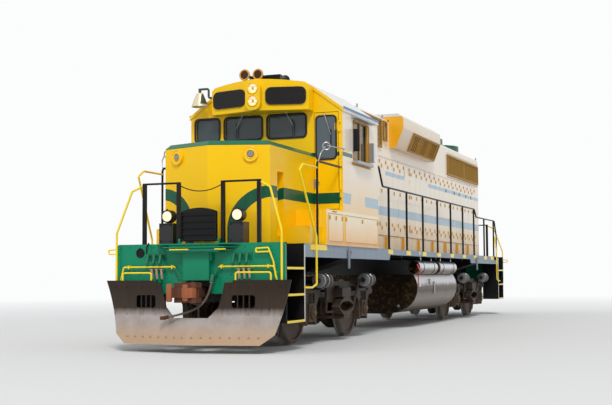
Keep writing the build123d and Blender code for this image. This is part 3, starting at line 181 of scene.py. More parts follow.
class Effects:
    """Node groups that several finishes share, built once."""

    _built: dict[str, bpy.types.NodeTree] = {}

    @classmethod
    def _new(cls, name: str, inputs: Sequence[tuple[str, str]], outputs: Sequence[tuple[str, str]]):
        """Makes an empty group with its sockets.

        Args:
            name: the group's name.
            inputs: name and socket type of each input.
            outputs: name and socket type of each output.

        Returns:
            The wiring, the group's input node and its output node.
        """
        tree = bpy.data.node_groups.new(name, "ShaderNodeTree")
        for way, sockets in (("INPUT", inputs), ("OUTPUT", outputs)):
            for label, kind in sockets:
                tree.interface.new_socket(label, in_out=way, socket_type=kind)
        cls._built[name] = tree
        wiring = Wiring(tree)
        return wiring, wiring.add("NodeGroupInput"), wiring.add("NodeGroupOutput")

    @classmethod
    def weathering(cls) -> bpy.types.NodeTree:
        """Road dirt: patches, streaks that run down, and a dusty foot."""
        if "weathering" in cls._built:
            return cls._built["weathering"]
        wiring, start, end = cls._new(
            "weathering",
            (("Position", "NodeSocketVector"), ("Paint", "NodeSocketColor"), ("Dust", "NodeSocketColor"),
             ("Amount", "NodeSocketFloat"), ("Foot", "NodeSocketFloat"), ("Gloss", "NodeSocketFloat"),
             ("Grain", "NodeSocketFloat")),
            (("Color", "NodeSocketColor"), ("Roughness", "NodeSocketFloat"), ("Height", "NodeSocketFloat")),
        )
        position, paint, dust, amount, foot, gloss, grain = start.outputs[:7]
        patch = wiring.ramp(wiring.noise(position, 1.7, 6.0, 0.62), 0.45, 0.78)
        streak = wiring.ramp(wiring.noise(wiring.stretch(position, (9.0, 9.0, 0.7)), 1.0, 5.0), 0.48, 0.8)
        height = wiring.add("ShaderNodeSeparateXYZ", position).outputs[2]
        low = wiring.math("SUBTRACT", 1.0, wiring.math("DIVIDE", height, foot))
        low = wiring.math("MULTIPLY", wiring.math("MAXIMUM", low, 0.0),
                          wiring.ramp(wiring.noise(position, 5.0, 5.0), 0.3, 0.6, 0.5, 1.2))
        cover = wiring.math("ADD", wiring.math("MULTIPLY", patch, 0.55), wiring.math("MULTIPLY", streak, 0.5))
        cover = wiring.math("MULTIPLY", wiring.math("ADD", cover, low), amount)
        cover = wiring.math("MINIMUM", cover, 0.92)
        fine = wiring.noise(position, grain, 3.0)
        wiring.fill(end.inputs[0], wiring.mix(cover, paint, dust))
        rough = wiring.math("ADD", gloss, wiring.math("MULTIPLY", cover, 0.4))
        wiring.fill(end.inputs[1], wiring.math("ADD", rough, wiring.math("MULTIPLY", fine, 0.06)))
        wiring.fill(end.inputs[2], wiring.math("ADD", fine, wiring.math("MULTIPLY", cover, 0.6)))
        return wiring.tree

    @classmethod
    def chips(cls) -> bpy.types.NodeTree:
        """Mask of small bare spots and scratches."""
        if "chips" in cls._built:
            return cls._built["chips"]
        wiring, start, end = cls._new(
            "chips",
            (("Position", "NodeSocketVector"), ("Scale", "NodeSocketFloat"), ("Share", "NodeSocketFloat")),
            (("Mask", "NodeSocketFloat"),),
        )
        position, scale, share = start.outputs[:3]
        spots = wiring.noise(position, scale, 8.0, 0.75)
        lines = wiring.noise(wiring.stretch(position, (1.0, 1.0, 14.0)), scale, 6.0, 0.7)
        both = wiring.math("MAXIMUM", spots, lines)
        limit = wiring.math("SUBTRACT", 0.78, wiring.math("MULTIPLY", share, 0.3))
        soft = wiring.math("DIVIDE", wiring.math("SUBTRACT", both, limit), 0.03)
        wiring.fill(end.inputs[0], wiring.add("ShaderNodeClamp", soft).outputs[0])
        return wiring.tree

    @classmethod
    def tread_plate(cls) -> bpy.types.NodeTree:
        """Height of the crossed ribs on walkway plates."""
        if "tread_plate" in cls._built:
            return cls._built["tread_plate"]
        wiring, start, end = cls._new(
            "tread_plate",
            (("Position", "NodeSocketVector"), ("Pitch", "NodeSocketFloat")),
            (("Height", "NodeSocketFloat"),),
        )
        position, pitch = start.outputs[:2]
        x, y, _ = wiring.add("ShaderNodeSeparateXYZ", position).outputs[:3]
        rows = []
        for first, second in (("ADD", "SUBTRACT"), ("SUBTRACT", "ADD")):
            along = wiring.math("DIVIDE", wiring.math(first, x, y), pitch)
            across = wiring.math("DIVIDE", wiring.math(second, x, y), pitch)
            rib = wiring.math("SINE", wiring.math("MULTIPLY", across, 2 * math.pi))
            gate = wiring.math("SINE", wiring.math("MULTIPLY", along, math.pi))
            rows.append(wiring.math("MULTIPLY", wiring.ramp(rib, 0.55, 0.8), wiring.ramp(gate, 0.1, 0.4)))
        wiring.fill(end.inputs[0], wiring.math("MAXIMUM", *rows))
        return wiring.tree


@dataclass(frozen=True)
class Finish:
    """A paint, metal or rubber with its dirt and grain.

    Args:
        name: the material's name.
        slot: the record's material slot, not used.
        colour: screen colour of the clean surface.
        gloss: roughness of the clean surface.
        metallic: 1 for bare metal.
        coat: weight of the clear coat.
        dirt: how much dust lies on it.
        dust: screen colour of the dust.
        foot: height in metres under which dust gathers.
        grain: scale of the fine surface noise.
        bump: strength of the surface relief.
        chip: share of bare spots.
        under: screen colour in the bare spots.
        shine: the specular level of the surface.
    """

    name: str
    slot: str
    colour: str
    gloss: float = 0.35
    shine: float = 0.3
    metallic: float = 0.0
    coat: float = 0.0
    dirt: float = 0.15
    dust: str = "#8A7A62"
    foot: float = 1.2
    grain: float = 90.0
    bump: float = 0.08
    chip: float = 0.0
    under: str = "#3A2A20"

    def paint(self, wiring: Wiring, position: Socket):
        """Colour of the clean surface: a constant, or a socket where it changes."""
        return linear(self.colour)

    def relief(self, wiring: Wiring, position: Socket, fine: Socket) -> Socket:
        """Height that the bump reads."""
        return fine

    def metal(self, wiring: Wiring, position: Socket):
        """Metallic value or socket."""
        return self.metallic

    def build(self) -> bpy.types.Material:
        """Makes the material, once for each finish.

        Returns:
            The material with its nodes.
        """
        ready = bpy.data.materials.get(self.name)
        if ready is not None:
            return ready
        material = bpy.data.materials.new(self.name)
        material.use_nodes = True
        material.node_tree.nodes.clear()
        wiring = Wiring(material.node_tree)
        position = wiring.add("ShaderNodeTexCoord").outputs["Object"]
        colour = self.paint(wiring, position)
        group = wiring.add("ShaderNodeGroup", position, colour, linear(self.dust), self.dirt, self.foot, self.gloss,
                           self.grain, node_tree=Effects.weathering())
        colour = group.outputs["Color"]
        if self.chip > 0:
            spots = wiring.add("ShaderNodeGroup", position, 7.0, self.chip, node_tree=Effects.chips())
            colour = wiring.mix(spots.outputs[0], colour, linear(self.under))
        shader = wiring.add("ShaderNodeBsdfPrincipled")
        for name, value in (("Base Color", colour), ("Roughness", group.outputs["Roughness"]),
                            ("Metallic", self.metal(wiring, position)), ("Coat Weight", self.coat),
                            ("Coat Roughness", 0.12), ("Specular IOR Level", self.shine)):
            wiring.fill(shader.inputs[name], value)
        bump = wiring.add("ShaderNodeBump")
        bump.inputs["Strength"].default_value = self.bump
        bump.inputs["Distance"].default_value = 0.004
        wiring.fill(bump.inputs["Height"], self.relief(wiring, position, group.outputs["Height"]))
        wiring.fill(shader.inputs["Normal"], bump.outputs[0])
        output = wiring.add("ShaderNodeOutputMaterial", shader.outputs[0])
        output.name = "surface"
        return material


@dataclass(frozen=True)
class Patch:
    """A painted field: its colour, height range, length range, slant and range of width."""

    colour: str
    heights: tuple[float, float]
    reach: tuple[float, float] = (-20.0, 20.0)
    slant: float = 0.0
    widths: tuple[float, float] = (-1.0, 20.0)


@dataclass(frozen=True)
class Livery(Finish):
    """Paint with bands, a swoosh round the ends, and a second colour on some faces.

    Args:
        patches: painted rectangles, in order.
        swoosh: colour of the arc that joins the side bands on an end wall, or none.
        end_colour: colour of faces that look along the locomotive, or none.
        end_swoosh: colour of the arc on those faces.
        end_from: distance from the middle beyond which those faces change colour.
        top_colour: colour above top_height, or none.
        top_height: height of that change.
        foot_shade: painted shade, the darker golden colour that the painted reflection fades to towards the foot, or
            none.
        foot_shade_heights: the range of that fade.
    """

    patches: tuple[Patch, ...] = ()
    swoosh: Optional[str] = None
    end_colour: Optional[str] = None
    end_swoosh: Optional[str] = None
    end_from: float = 0.0
    top_colour: Optional[str] = None
    top_height: float = 0.0
    foot_shade: Optional[str] = None
    foot_shade_heights: tuple[float, float] = (0.0, 1.0)

    def paint(self, wiring: Wiring, position: Socket):
        """Base colour with its bands."""
        x, y, z = wiring.add("ShaderNodeSeparateXYZ", position).outputs[:3]
        colour = linear(self.colour)
        # Painted shade: below the painted cream reflection the colour darkens to a golden tone towards the foot.
        if self.foot_shade:
            wave = wiring.math("MULTIPLY", wiring.noise(position, 0.8, 2.0), 0.35)
            level = wiring.ramp(wiring.math("ADD", z, wave), *self.foot_shade_heights, 1.0, 0.0)
            colour = wiring.mix(level, colour, linear(self.foot_shade))
        arc = None
        if self.swoosh or self.end_swoosh:
            centre_y, centre_z = SWOOSH_CENTRE
            inner, outer = (edge - centre_z + SWOOSH_LIFT for edge in BAND)
            side = wiring.math("SUBTRACT", wiring.math("ABSOLUTE", y), centre_y)
            rise = wiring.math("MAXIMUM", wiring.math("SUBTRACT", z, centre_z), 0.0)
            square = wiring.math("MULTIPLY_ADD", side, side, wiring.math("MULTIPLY", rise, rise))
            arc = wiring.within(wiring.math("SQRT", square), inner, outer)
        if self.swoosh:
            colour = wiring.mix(arc, colour, linear(self.swoosh))
        for patch in self.patches:
            along = x
            if patch.slant:
                along = wiring.math("ADD", x, wiring.math("MULTIPLY", z, patch.slant))
            mask = wiring.all_of(wiring.within(z, *patch.heights), wiring.within(along, *patch.reach))
            if patch.widths[0] > 0:
                mask = wiring.math("MULTIPLY", mask, wiring.within(wiring.math("ABSOLUTE", y), *patch.widths))
            colour = wiring.mix(mask, colour, linear(patch.colour))
        if self.end_colour:
            facing = wiring.add("ShaderNodeSeparateXYZ", wiring.add("ShaderNodeNewGeometry").outputs["True Normal"])
            ends = wiring.math("GREATER_THAN", wiring.math("ABSOLUTE", facing.outputs[0]), 0.6)
            if self.end_from:
                far = wiring.math("GREATER_THAN", wiring.math("ABSOLUTE", x), self.end_from)
                ends = wiring.math("MULTIPLY", ends, far)
            end_paint = linear(self.end_colour)
            if self.end_swoosh:
                end_paint = wiring.mix(arc, end_paint, linear(self.end_swoosh))
            colour = wiring.mix(ends, colour, end_paint)
        if self.top_colour:
            colour = wiring.mix(wiring.math("GREATER_THAN", z, self.top_height), colour, linear(self.top_colour))
        return colour


@dataclass(frozen=True)
class WalkwayPlate(Finish):
    """Black frame with a grey side sill and crossed ribs on its upper faces."""

    sill: str = "#94A2B0"
    rib_pitch: float = 0.07

    def paint(self, wiring: Wiring, position: Socket):
        """Black below, grey on the sill and the walkway."""
        _, y, z = wiring.add("ShaderNodeSeparateXYZ", position).outputs[:3]
        outer = wiring.math("GREATER_THAN", wiring.math("ABSOLUTE", y), SIDE - 0.012)
        edge = wiring.all_of(outer, wiring.math("GREATER_THAN", z, DECK - 0.26))
        top = wiring.math("GREATER_THAN", z, DECK + 0.027)
        colour = wiring.mix(edge, linear(self.colour), linear(self.sill))
        return wiring.mix(top, colour, linear("#4A4C4E"))

    def relief(self, wiring: Wiring, position: Socket, fine: Socket) -> Socket:
        """Ribs over the fine grain."""
        ribs = wiring.add("ShaderNodeGroup", position, self.rib_pitch, node_tree=Effects.tread_plate())
        return wiring.math("ADD", fine, ribs.outputs[0])


@dataclass(frozen=True)
class BladeSteel(Finish):
    """Plough steel: dark above, scoured bright and tan towards its cutting edge."""

    worn: str = "#A8A09C"
    tan: str = "#B39474"
    scour_height: float = 0.62

    def paint(self, wiring: Wiring, position: Socket):
        """Dark, bright and tan levels with streaks."""
        _, _, z = wiring.add("ShaderNodeSeparateXYZ", position).outputs[:3]
        streaks = wiring.noise(wiring.stretch(position, (3.0, 14.0, 1.2)), 2.2, 6.0, 0.65)
        level = wiring.math("ADD", z, wiring.math("MULTIPLY", streaks, 0.09))
        bright = wiring.ramp(level, self.scour_height - 0.03, self.scour_height + 0.09, 1.0, 0.0)
        rusty = wiring.ramp(wiring.noise(position, 3.5, 7.0, 0.7), 0.45, 0.66)
        dark = wiring.mix(wiring.ramp(streaks, 0.35, 0.7), linear(self.colour), linear("#2A211C"))
        foot = wiring.ramp(level, 0.27, 0.5, 1.0, 0.0)
        worn = wiring.mix(wiring.math("MULTIPLY", rusty, 0.5), linear(self.worn), linear("#8E7D72"))
        worn = wiring.mix(wiring.math("MULTIPLY", foot, 0.85), worn, linear(self.tan))
        return wiring.mix(bright, dark, worn)


@dataclass(frozen=True)
class WheelSteel(Finish):
    """Wheel and axle iron with a polished tread."""

    centre: tuple[float, float] = (0.0, 0.533)
    tread: tuple[float, float] = (0.497, 0.503)

    def _radius(self, wiring: Wiring, position: Socket) -> Socket:
        """Distance from the axle's centre line."""
        x, _, z = wiring.add("ShaderNodeSeparateXYZ", position).outputs[:3]
        across = wiring.math("SUBTRACT", x, self.centre[0])
        rise = wiring.math("SUBTRACT", z, self.centre[1])
        return wiring.math("SQRT", wiring.math("MULTIPLY_ADD", across, across, wiring.math("MULTIPLY", rise, rise)))

    def paint(self, wiring: Wiring, position: Socket):
        """Rusty web and bright tread."""
        radius = self._radius(wiring, position)
        rust = wiring.ramp(wiring.noise(position, 9.0, 6.0, 0.7), 0.4, 0.65)
        web = wiring.mix(rust, linear(self.colour), linear("#5A3A28"))
        return wiring.mix(wiring.ramp(radius, *self.tread), web, linear("#A7A29B"))

    def metal(self, wiring: Wiring, position: Socket):
        """Bare metal on the tread."""
        return wiring.ramp(self._radius(wiring, position), *self.tread)


@dataclass(frozen=True)
class RollingSteel(Finish):
    """Silver tank paint: a bright shoulder, a brown belt below it and a duller belly that darkens towards the bottom.
    """

    belt_tone: str = "#5A4A38"
    pale: str = "#A8A090"
    heights: tuple[float, float] = (0.5, 1.15)

    def paint(self, wiring: Wiring, position: Socket):
        """Silver shoulder, brown belly and dark ends."""
        _, _, z = wiring.add("ShaderNodeSeparateXYZ", position).outputs[:3]
        low, high = self.heights
        streaks = wiring.noise(wiring.stretch(position, (3.0, 1.0, 0.35)), 2.4, 7.0, 0.65)
        level = wiring.math("ADD", z, wiring.math("MULTIPLY", wiring.math("SUBTRACT", streaks, 0.5), 0.14))
        belly = wiring.mix(wiring.ramp(z, low - 0.25, low), linear("#6A5A46"), linear(self.pale))
        colour = wiring.mix(wiring.ramp(level, low - 0.12, low + 0.06), belly, linear(self.belt_tone))
        colour = wiring.mix(wiring.ramp(level, high - 0.04, high + 0.05), colour, linear(self.colour))
        facing = wiring.add("ShaderNodeSeparateXYZ", wiring.add("ShaderNodeNewGeometry").outputs["True Normal"])
        ends = wiring.math("GREATER_THAN", wiring.math("ABSOLUTE", facing.outputs[0]), 0.7)
        spots = wiring.ramp(wiring.noise(position, 11.0, 8.0, 0.75), 0.5, 0.62)
        return wiring.mix(ends, colour, wiring.mix(spots, linear("#2A2018"), linear("#5E4A2C")))


@dataclass(frozen=True)
class ScreenMesh(Finish):
    """Painted wire screen with a fine square weave."""

    weave: float = 0.022

    def _wires(self, wiring: Wiring, position: Socket) -> Socket:
        """Mask of 1 on a wire and 0 in a hole."""
        x, _, z = wiring.add("ShaderNodeSeparateXYZ", position).outputs[:3]
        bars = []
        for value in (x, z):
            wave = wiring.math("SINE", wiring.math("MULTIPLY", value, 2 * math.pi / self.weave))
            bars.append(wiring.ramp(wave, 0.0, 0.5))
        return wiring.math("MAXIMUM", *bars)

    def paint(self, wiring: Wiring, position: Socket):
        """Painted shade in the holes between the painted wires: dark ochre where the space behind the screen lies in
        shade.
        """
        wires = self._wires(wiring, position)
        return wiring.mix(wires, linear("#66480C"), linear(self.colour))

    def relief(self, wiring: Wiring, position: Socket, fine: Socket) -> Socket:
        """Raised wires."""
        return wiring.math("ADD", self._wires(wiring, position), wiring.math("MULTIPLY", fine, 0.2))


@dataclass(frozen=True)
class TintedGlass(Finish):
    """Dark window glass, clear enough to show the cab."""

    clear: float = 0.55

    def build(self) -> bpy.types.Material:
        """Makes the glass with a sharp coat.

        Returns:
            The material with its nodes.
        """
        material = super().build()
        material["glass"] = True
        shader = next(n for n in material.node_tree.nodes if n.type == "BSDF_PRINCIPLED")
        for link in list(shader.inputs["Roughness"].links):
            material.node_tree.links.remove(link)
        shader.inputs["Roughness"].default_value = self.gloss
        shader.inputs["Transmission Weight"].default_value = self.clear
        shader.inputs["IOR"].default_value = 1.45
        return material


@dataclass(frozen=True)
class LitLens(Finish):
    """A lamp glass that shines a little."""

    power: float = 0.0

    def build(self) -> bpy.types.Material:
        """Makes the lens.

        Returns:
            The material with its nodes.
        """
        material = super().build()
        shader = next(n for n in material.node_tree.nodes if n.type == "BSDF_PRINCIPLED")
        shader.inputs["Emission Color"].default_value = (*linear("#FFEFC8"), 1.0)
        shader.inputs["Emission Strength"].default_value = self.power
        return material


GREEN = "#00553A"
# Painted reflection: the green band on the sides, lightened to pale blue as if the sky shone in the gloss.
BAND_SHEEN_BLUE = "#A3BDCD"
YELLOW_TONE = "#FFCB00"
# Painted reflection: the yellow paint of the sides and boxes is lightened to cream, as if the pale sky shone in its
# gloss.
SHEEN_CREAM = "#F6E9D6"

yellow = Livery("golden_yellow", "yellow_paint", YELLOW_TONE, gloss=0.3, shine=0.2, coat=0.15, dirt=0.06,
                dust="#C98F10", foot=2.2)
nose_paint = replace(yellow, name="nose_yellow", swoosh=GREEN, top_colour="#0B6B4C", top_height=TRIM[0])
cab_yellow = replace(yellow, name="cab_yellow", dirt=0.04, patches=(Patch(GREEN, BAND), Patch(GREEN, TRIM)))
# Cab sides: cream painted reflection, golden painted shade towards the foot, pale blue painted reflection on the green
# band; yellow on the end faces.
cab_sheen_cream = Livery("cab_sheen_cream", "cream_paint", SHEEN_CREAM, gloss=0.28, coat=0.4, dirt=0.08, dust="#CDB07C",
                   foot_shade="#F3CE8E", foot_shade_heights=(2.3, 3.1), end_colour=YELLOW_TONE,
                   patches=(Patch(BAND_SHEEN_BLUE, BAND, (6.05, 6.5), 0.25), Patch(BAND_SHEEN_BLUE, BAND, (3.0, 4.4), -0.1),
                            Patch(GREEN, TRIM, (5.34, 7.0))))
# Hood sides: cream painted reflection, golden painted shade towards the foot, pale blue painted reflection on the green
# bands; yellow at the front end.
hood_paint = Livery("hood_sheen_cream", "cream_paint", SHEEN_CREAM, gloss=0.28, coat=0.4, dirt=0.1, dust="#CDB07C",
                    foot=2.6, foot_shade="#F0CB90", foot_shade_heights=(1.9, 2.8), end_colour=YELLOW_TONE, end_swoosh=GREEN,
                    end_from=7.2,
                    top_colour="#DAD9D4", top_height=HOOD_TOP - 0.012,
                    patches=(Patch(BAND_SHEEN_BLUE, BAND), Patch(BAND_SHEEN_BLUE, (3.225, 3.315), (0.25, 1.67)),
                             Patch(BAND_SHEEN_BLUE, (3.225, 3.315), (-7.45, -1.8))))
# Equipment boxes: cream painted reflection over the yellow paint, fading to an orange painted shade towards the foot.
box_paint = Livery("box_sheen_cream", "cream_paint", "#F9EBCB", gloss=0.28, coat=0.3, dirt=0.06, dust="#B98E4A",
                   foot=2.3, foot_shade="#F3A628", foot_shade_heights=(1.72, 2.3), end_colour=YELLOW_TONE,
                   patches=(Patch(YELLOW_TONE, (1.6, 2.3), (6.69, 8.0)),))
green = Finish("emerald_green", "green_paint", "#028560", gloss=0.32, shine=0.2, coat=0.15, dirt=0.08, dust="#3E6B52",
               foot=1.3, chip=0.12, under="#0B3A2A")
dark_green = Finish("fan_green", "green_paint", "#0A5A44", gloss=0.4, coat=0.2, dirt=0.2)
roof_cream = Livery("roof_cream", "cream_paint", "#E4E2DC", gloss=0.3, coat=0.3, dirt=0.12,
                    end_colour=YELLOW_TONE)
roof_plain = Finish("roof_plain", "cream_paint", "#DAD9D4", gloss=0.3, coat=0.3, dirt=0.12)
# Brake housing: cream painted reflection on its flanks, fading to a tan painted shade towards the foot.
flare_paint = Livery("flare_sheen_cream", "cream_paint", SHEEN_CREAM, gloss=0.28, coat=0.4, dirt=0.1, dust="#CDB07C",
                     foot_shade="#CFA266", foot_shade_heights=(3.95, 4.75), end_colour="#F3AE12", top_colour="#DAD9D4",
                     top_height=4.5)
screen = ScreenMesh("ochre_screen", "ochre_paint", "#BE8E22", gloss=0.5, dirt=0.12, bump=0.5)
latch_ochre = Finish("latch_ochre", "ochre_paint", "#C99524", gloss=0.42, dirt=0.08)
ochre = Finish("ochre", "ochre_paint", "#BA851A", gloss=0.42, dirt=0.15)
window_metal = Finish("window_metal", "ochre_paint", "#A9ACB0", gloss=0.35, metallic=0.5, dirt=0.12)
walkway = WalkwayPlate("walkway", "black_steel", "#121214", gloss=0.5, dirt=0.2, dust="#4A4238", foot=1.7,
                       bump=0.25, shine=0.2)
black = Finish("running_black", "black_steel", "#111114", gloss=0.4, dirt=0.12, dust="#4A4238", shine=0.18)
bogie_black = Finish("bogie_black", "black_steel", "#131213", gloss=0.45, dirt=0.5, dust="#6E5A46", foot=1.2,
                     bump=0.25, grain=45.0, shine=0.2)
rail_black = Finish("rail_black", "black_steel", "#101014", gloss=0.32, dirt=0.06, shine=0.2)
rail_yellow = Finish("rail_yellow", "yellow_paint", "#FFDD12", gloss=0.32, coat=0.3, dirt=0.1, chip=0.1,
                     under="#8A6A10")
fitting_paint = Livery("fitting_yellow", "yellow_paint", "#FFDD12", gloss=0.32, coat=0.3, dirt=0.1,
                       patches=(Patch("#026B4C", (1.325, 1.7)), Patch("#026B4C", (0.9, 1.28), widths=(0.0001, 0.40))))
lamp_paint = Livery("lamp_yellow", "yellow_paint", YELLOW_TONE, gloss=0.3, coat=0.35, dirt=0.06,
                    patches=(Patch("#141418", (1.6, 2.4), (8.0, 9.0)),))
blade = BladeSteel("plough_steel", "blade_steel", "#33261D", gloss=0.42, metallic=0.3, dirt=0.1, dust="#7A6248",
                   bump=0.25, grain=40.0)
rust = Finish("coupler_rust", "rust_iron", "#6A4230", gloss=0.7, dirt=0.6, dust="#33201A", bump=0.6, grain=30.0,
              chip=0.25, under="#A0603F")
knuckle_rust = Finish("knuckle_rust", "rust_iron", "#A9623F", gloss=0.65, dirt=0.5, dust="#5A3222", bump=0.6,
                      grain=30.0, chip=0.25, under="#C9865C")
# Rusty iron, lightened as a painted highlight, with near white spots that are painted highlights.
cock_iron_highlit = Finish("cock_iron_highlit", "rust_iron", "#B09884", gloss=0.6, dirt=0.3, dust="#4B2A1E", bump=0.4, chip=0.3,
                   under="#D9D2C6")
tank_silver = RollingSteel("tank_silver", "silver_paint", "#C4C3C6", gloss=0.3, metallic=0.7, dirt=0.12,
                           dust="#4A3C2C", belt_tone="#402F16", heights=(0.74, 0.93), pale="#B4ADA2")
tube_silver = RollingSteel("tube_silver", "silver_paint", "#D2D7DC", gloss=0.26, metallic=0.7, dirt=0.06,
                           belt_tone="#7A6244", heights=(1.16, 1.27), pale="#8A7A66")
dark_glass = TintedGlass("window_glass", "glass", "#55646C", gloss=0.04, dirt=0.05, bump=0.0, coat=0.3)
lamp_glass = LitLens("lamp_glass", "lens", "#F4E6C0", gloss=0.1, dirt=0.03, bump=0.0, power=0.45)
brass = Finish("horn_brass", "brass", "#C8964A", gloss=0.32, metallic=0.9, dirt=0.15)
bell_bronze = Livery("bell_bronze", "brass", "#D9CBA9", gloss=0.35, metallic=0.3, dirt=0.18, dust="#8A7A5A",
                     patches=(Patch("#47503F", (BELL_NECK, 6.0)), Patch("#47503F", (4.2, 6.0), widths=(0.9, 1.11))))
rubber = Finish("hose_rubber", "rubber", "#5F574A", gloss=0.75, dirt=0.4, dust="#8B7F6C", bump=0.3)
seal = Finish("window_rubber", "rubber", "#17161C", gloss=0.5, dirt=0.05)
cabin = Finish("cab_interior", "interior", "#5E6B60", gloss=0.6, dirt=0.1)
blank_black = Finish("board_black", "black_steel", "#14100F", gloss=0.14, dirt=0.02, shine=0.25)
class_lens = Finish("class_lens", "lens", "#8C8A8A", gloss=0.12, coat=0.5, dirt=0.05)
white_edge = Finish("edge_white", "silver_paint", "#D8D8D2", gloss=0.4, dirt=0.2)
lamp_amber = Finish("lamp_amber", "brass", "#D8A53A", gloss=0.3, dirt=0.05)
signal_red = Finish("signal_red", "rust_iron", "#C8102E", gloss=0.35, coat=0.2, dirt=0.1)
mirror_silver = Finish("mirror_silver", "silver_paint", "#B9C1C6", gloss=0.08, metallic=0.9, dirt=0.03, bump=0.0)
bare_steel = Finish("bare_steel", "silver_paint", "#A4A6A8", gloss=0.3, metallic=0.8, dirt=0.12)
cylinder_steel = Finish("cylinder_steel", "silver_paint", "#9B9C9E", gloss=0.3, metallic=0.6, dirt=0.3,
                        dust="#4A3F34", foot=1.4)
oily_brass = Finish("oily_brass", "brass", "#6E5A34", gloss=0.4, metallic=0.5, dirt=0.4, dust="#3A2E20")
door_glass = TintedGlass("door_glass", "glass", "#525F67", gloss=0.05, dirt=0.05, bump=0.0, coat=0.4, clear=0.0)
# Painted shade: a dark disc in each horn mouth stands for the shaded throat.
mouth_shade = Finish("horn_throat_shade", "brass", "#3A2410", gloss=0.5, metallic=0.3, dirt=0.1)
# Painted reflection: the blue of the drip rail is the sky shining in it.
gutter_reflection_blue = Finish("gutter_reflection_blue", "silver_paint", "#5E92C4", gloss=0.3, dirt=0.05)
# Painted shadow: this orange strip under the drip rail stands in for its shadow.
gutter_shadow_orange = Finish("gutter_shadow_orange", "ochre_paint", "#C2751F", gloss=0.4, dirt=0.1)
gusset_yellow = Finish("gusset_yellow", "ochre_paint", "#E0A224", gloss=0.4, dirt=0.1)
sill_grey = Finish("sill_grey", "silver_paint", "#7F8791", gloss=0.45, dirt=0.2)

NODE_FINISHES: dict[str, Finish] = {
    "underframe": walkway, "pilots": green, "step_wells": black, "snow_plough": blade,
    "fuel_tank": tank_silver, "air_reservoirs": tube_silver, "equipment_boxes": box_paint,
    "nose": nose_paint, "hood": hood_paint, "engine_block": dark_green, "cab_roof": roof_cream,
    "cab_sides": cab_sheen_cream, "cab_front_wall": cab_yellow, "cab_rear_wall": roof_cream,
    "cab_door_front": cab_yellow, "cab_door_rear": yellow, "cab_glass": dark_glass,
    "cab_interior": cabin, "visor": yellow, "lamp_housings": lamp_paint, "lamp_lenses": lamp_glass,
    "horns": rail_black, "bell": bell_bronze, "hood_doors": hood_paint,
    "engine_door_left": hood_paint, "engine_door_right": hood_paint, "brake_housing": flare_paint,
    "side_grilles": screen, "fan_housings": dark_green, "radiator_fan_front": black,
    "radiator_fan_rear": black, "brake_fan": black, "handrails": rail_black, "grab_rails": rail_yellow,
    "drop_step_front": black, "drop_step_rear": black, "end_fittings": fitting_paint,
    "side_window_fittings": window_metal, "brake_hose": rubber, "glad_hand": rust,
    "coupler_front": rust, "coupler_rear": rust, "knuckle_front": knuckle_rust, "knuckle_rear": knuckle_rust,
    "bogie_frame_front": bogie_black, "bogie_frame_rear": bogie_black,
    "bogie_suspension_front": bogie_black, "bogie_suspension_rear": bogie_black,
    "traction_motors_front": bogie_black, "traction_motors_rear": bogie_black,
}


class Paintshop:
    """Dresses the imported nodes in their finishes."""

    def dress(self) -> None:
        """Gives every node its material."""
        for name, finish in NODE_FINISHES.items():
            self._coat(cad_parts[name], finish)
        for number in range(1, 5):
            name = f"wheelset_{number}"
            low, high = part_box(name)
            centre = ((low.x + high.x) / 2, (low.z + high.z) / 2)
            self._coat(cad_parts[name], WheelSteel(
                f"wheel_steel_{number}", "wheel_steel", "#2E2723", gloss=0.4, dirt=0.35, dust="#5E4A38",
                foot=0.9, centre=centre))
        log.info("dressed %d nodes", len(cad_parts))

    @staticmethod
    def _coat(node: Piece, finish: Finish) -> None:
        """Puts one finish on a node."""
        node.data.materials.clear()
        node.data.materials.append(finish.build())


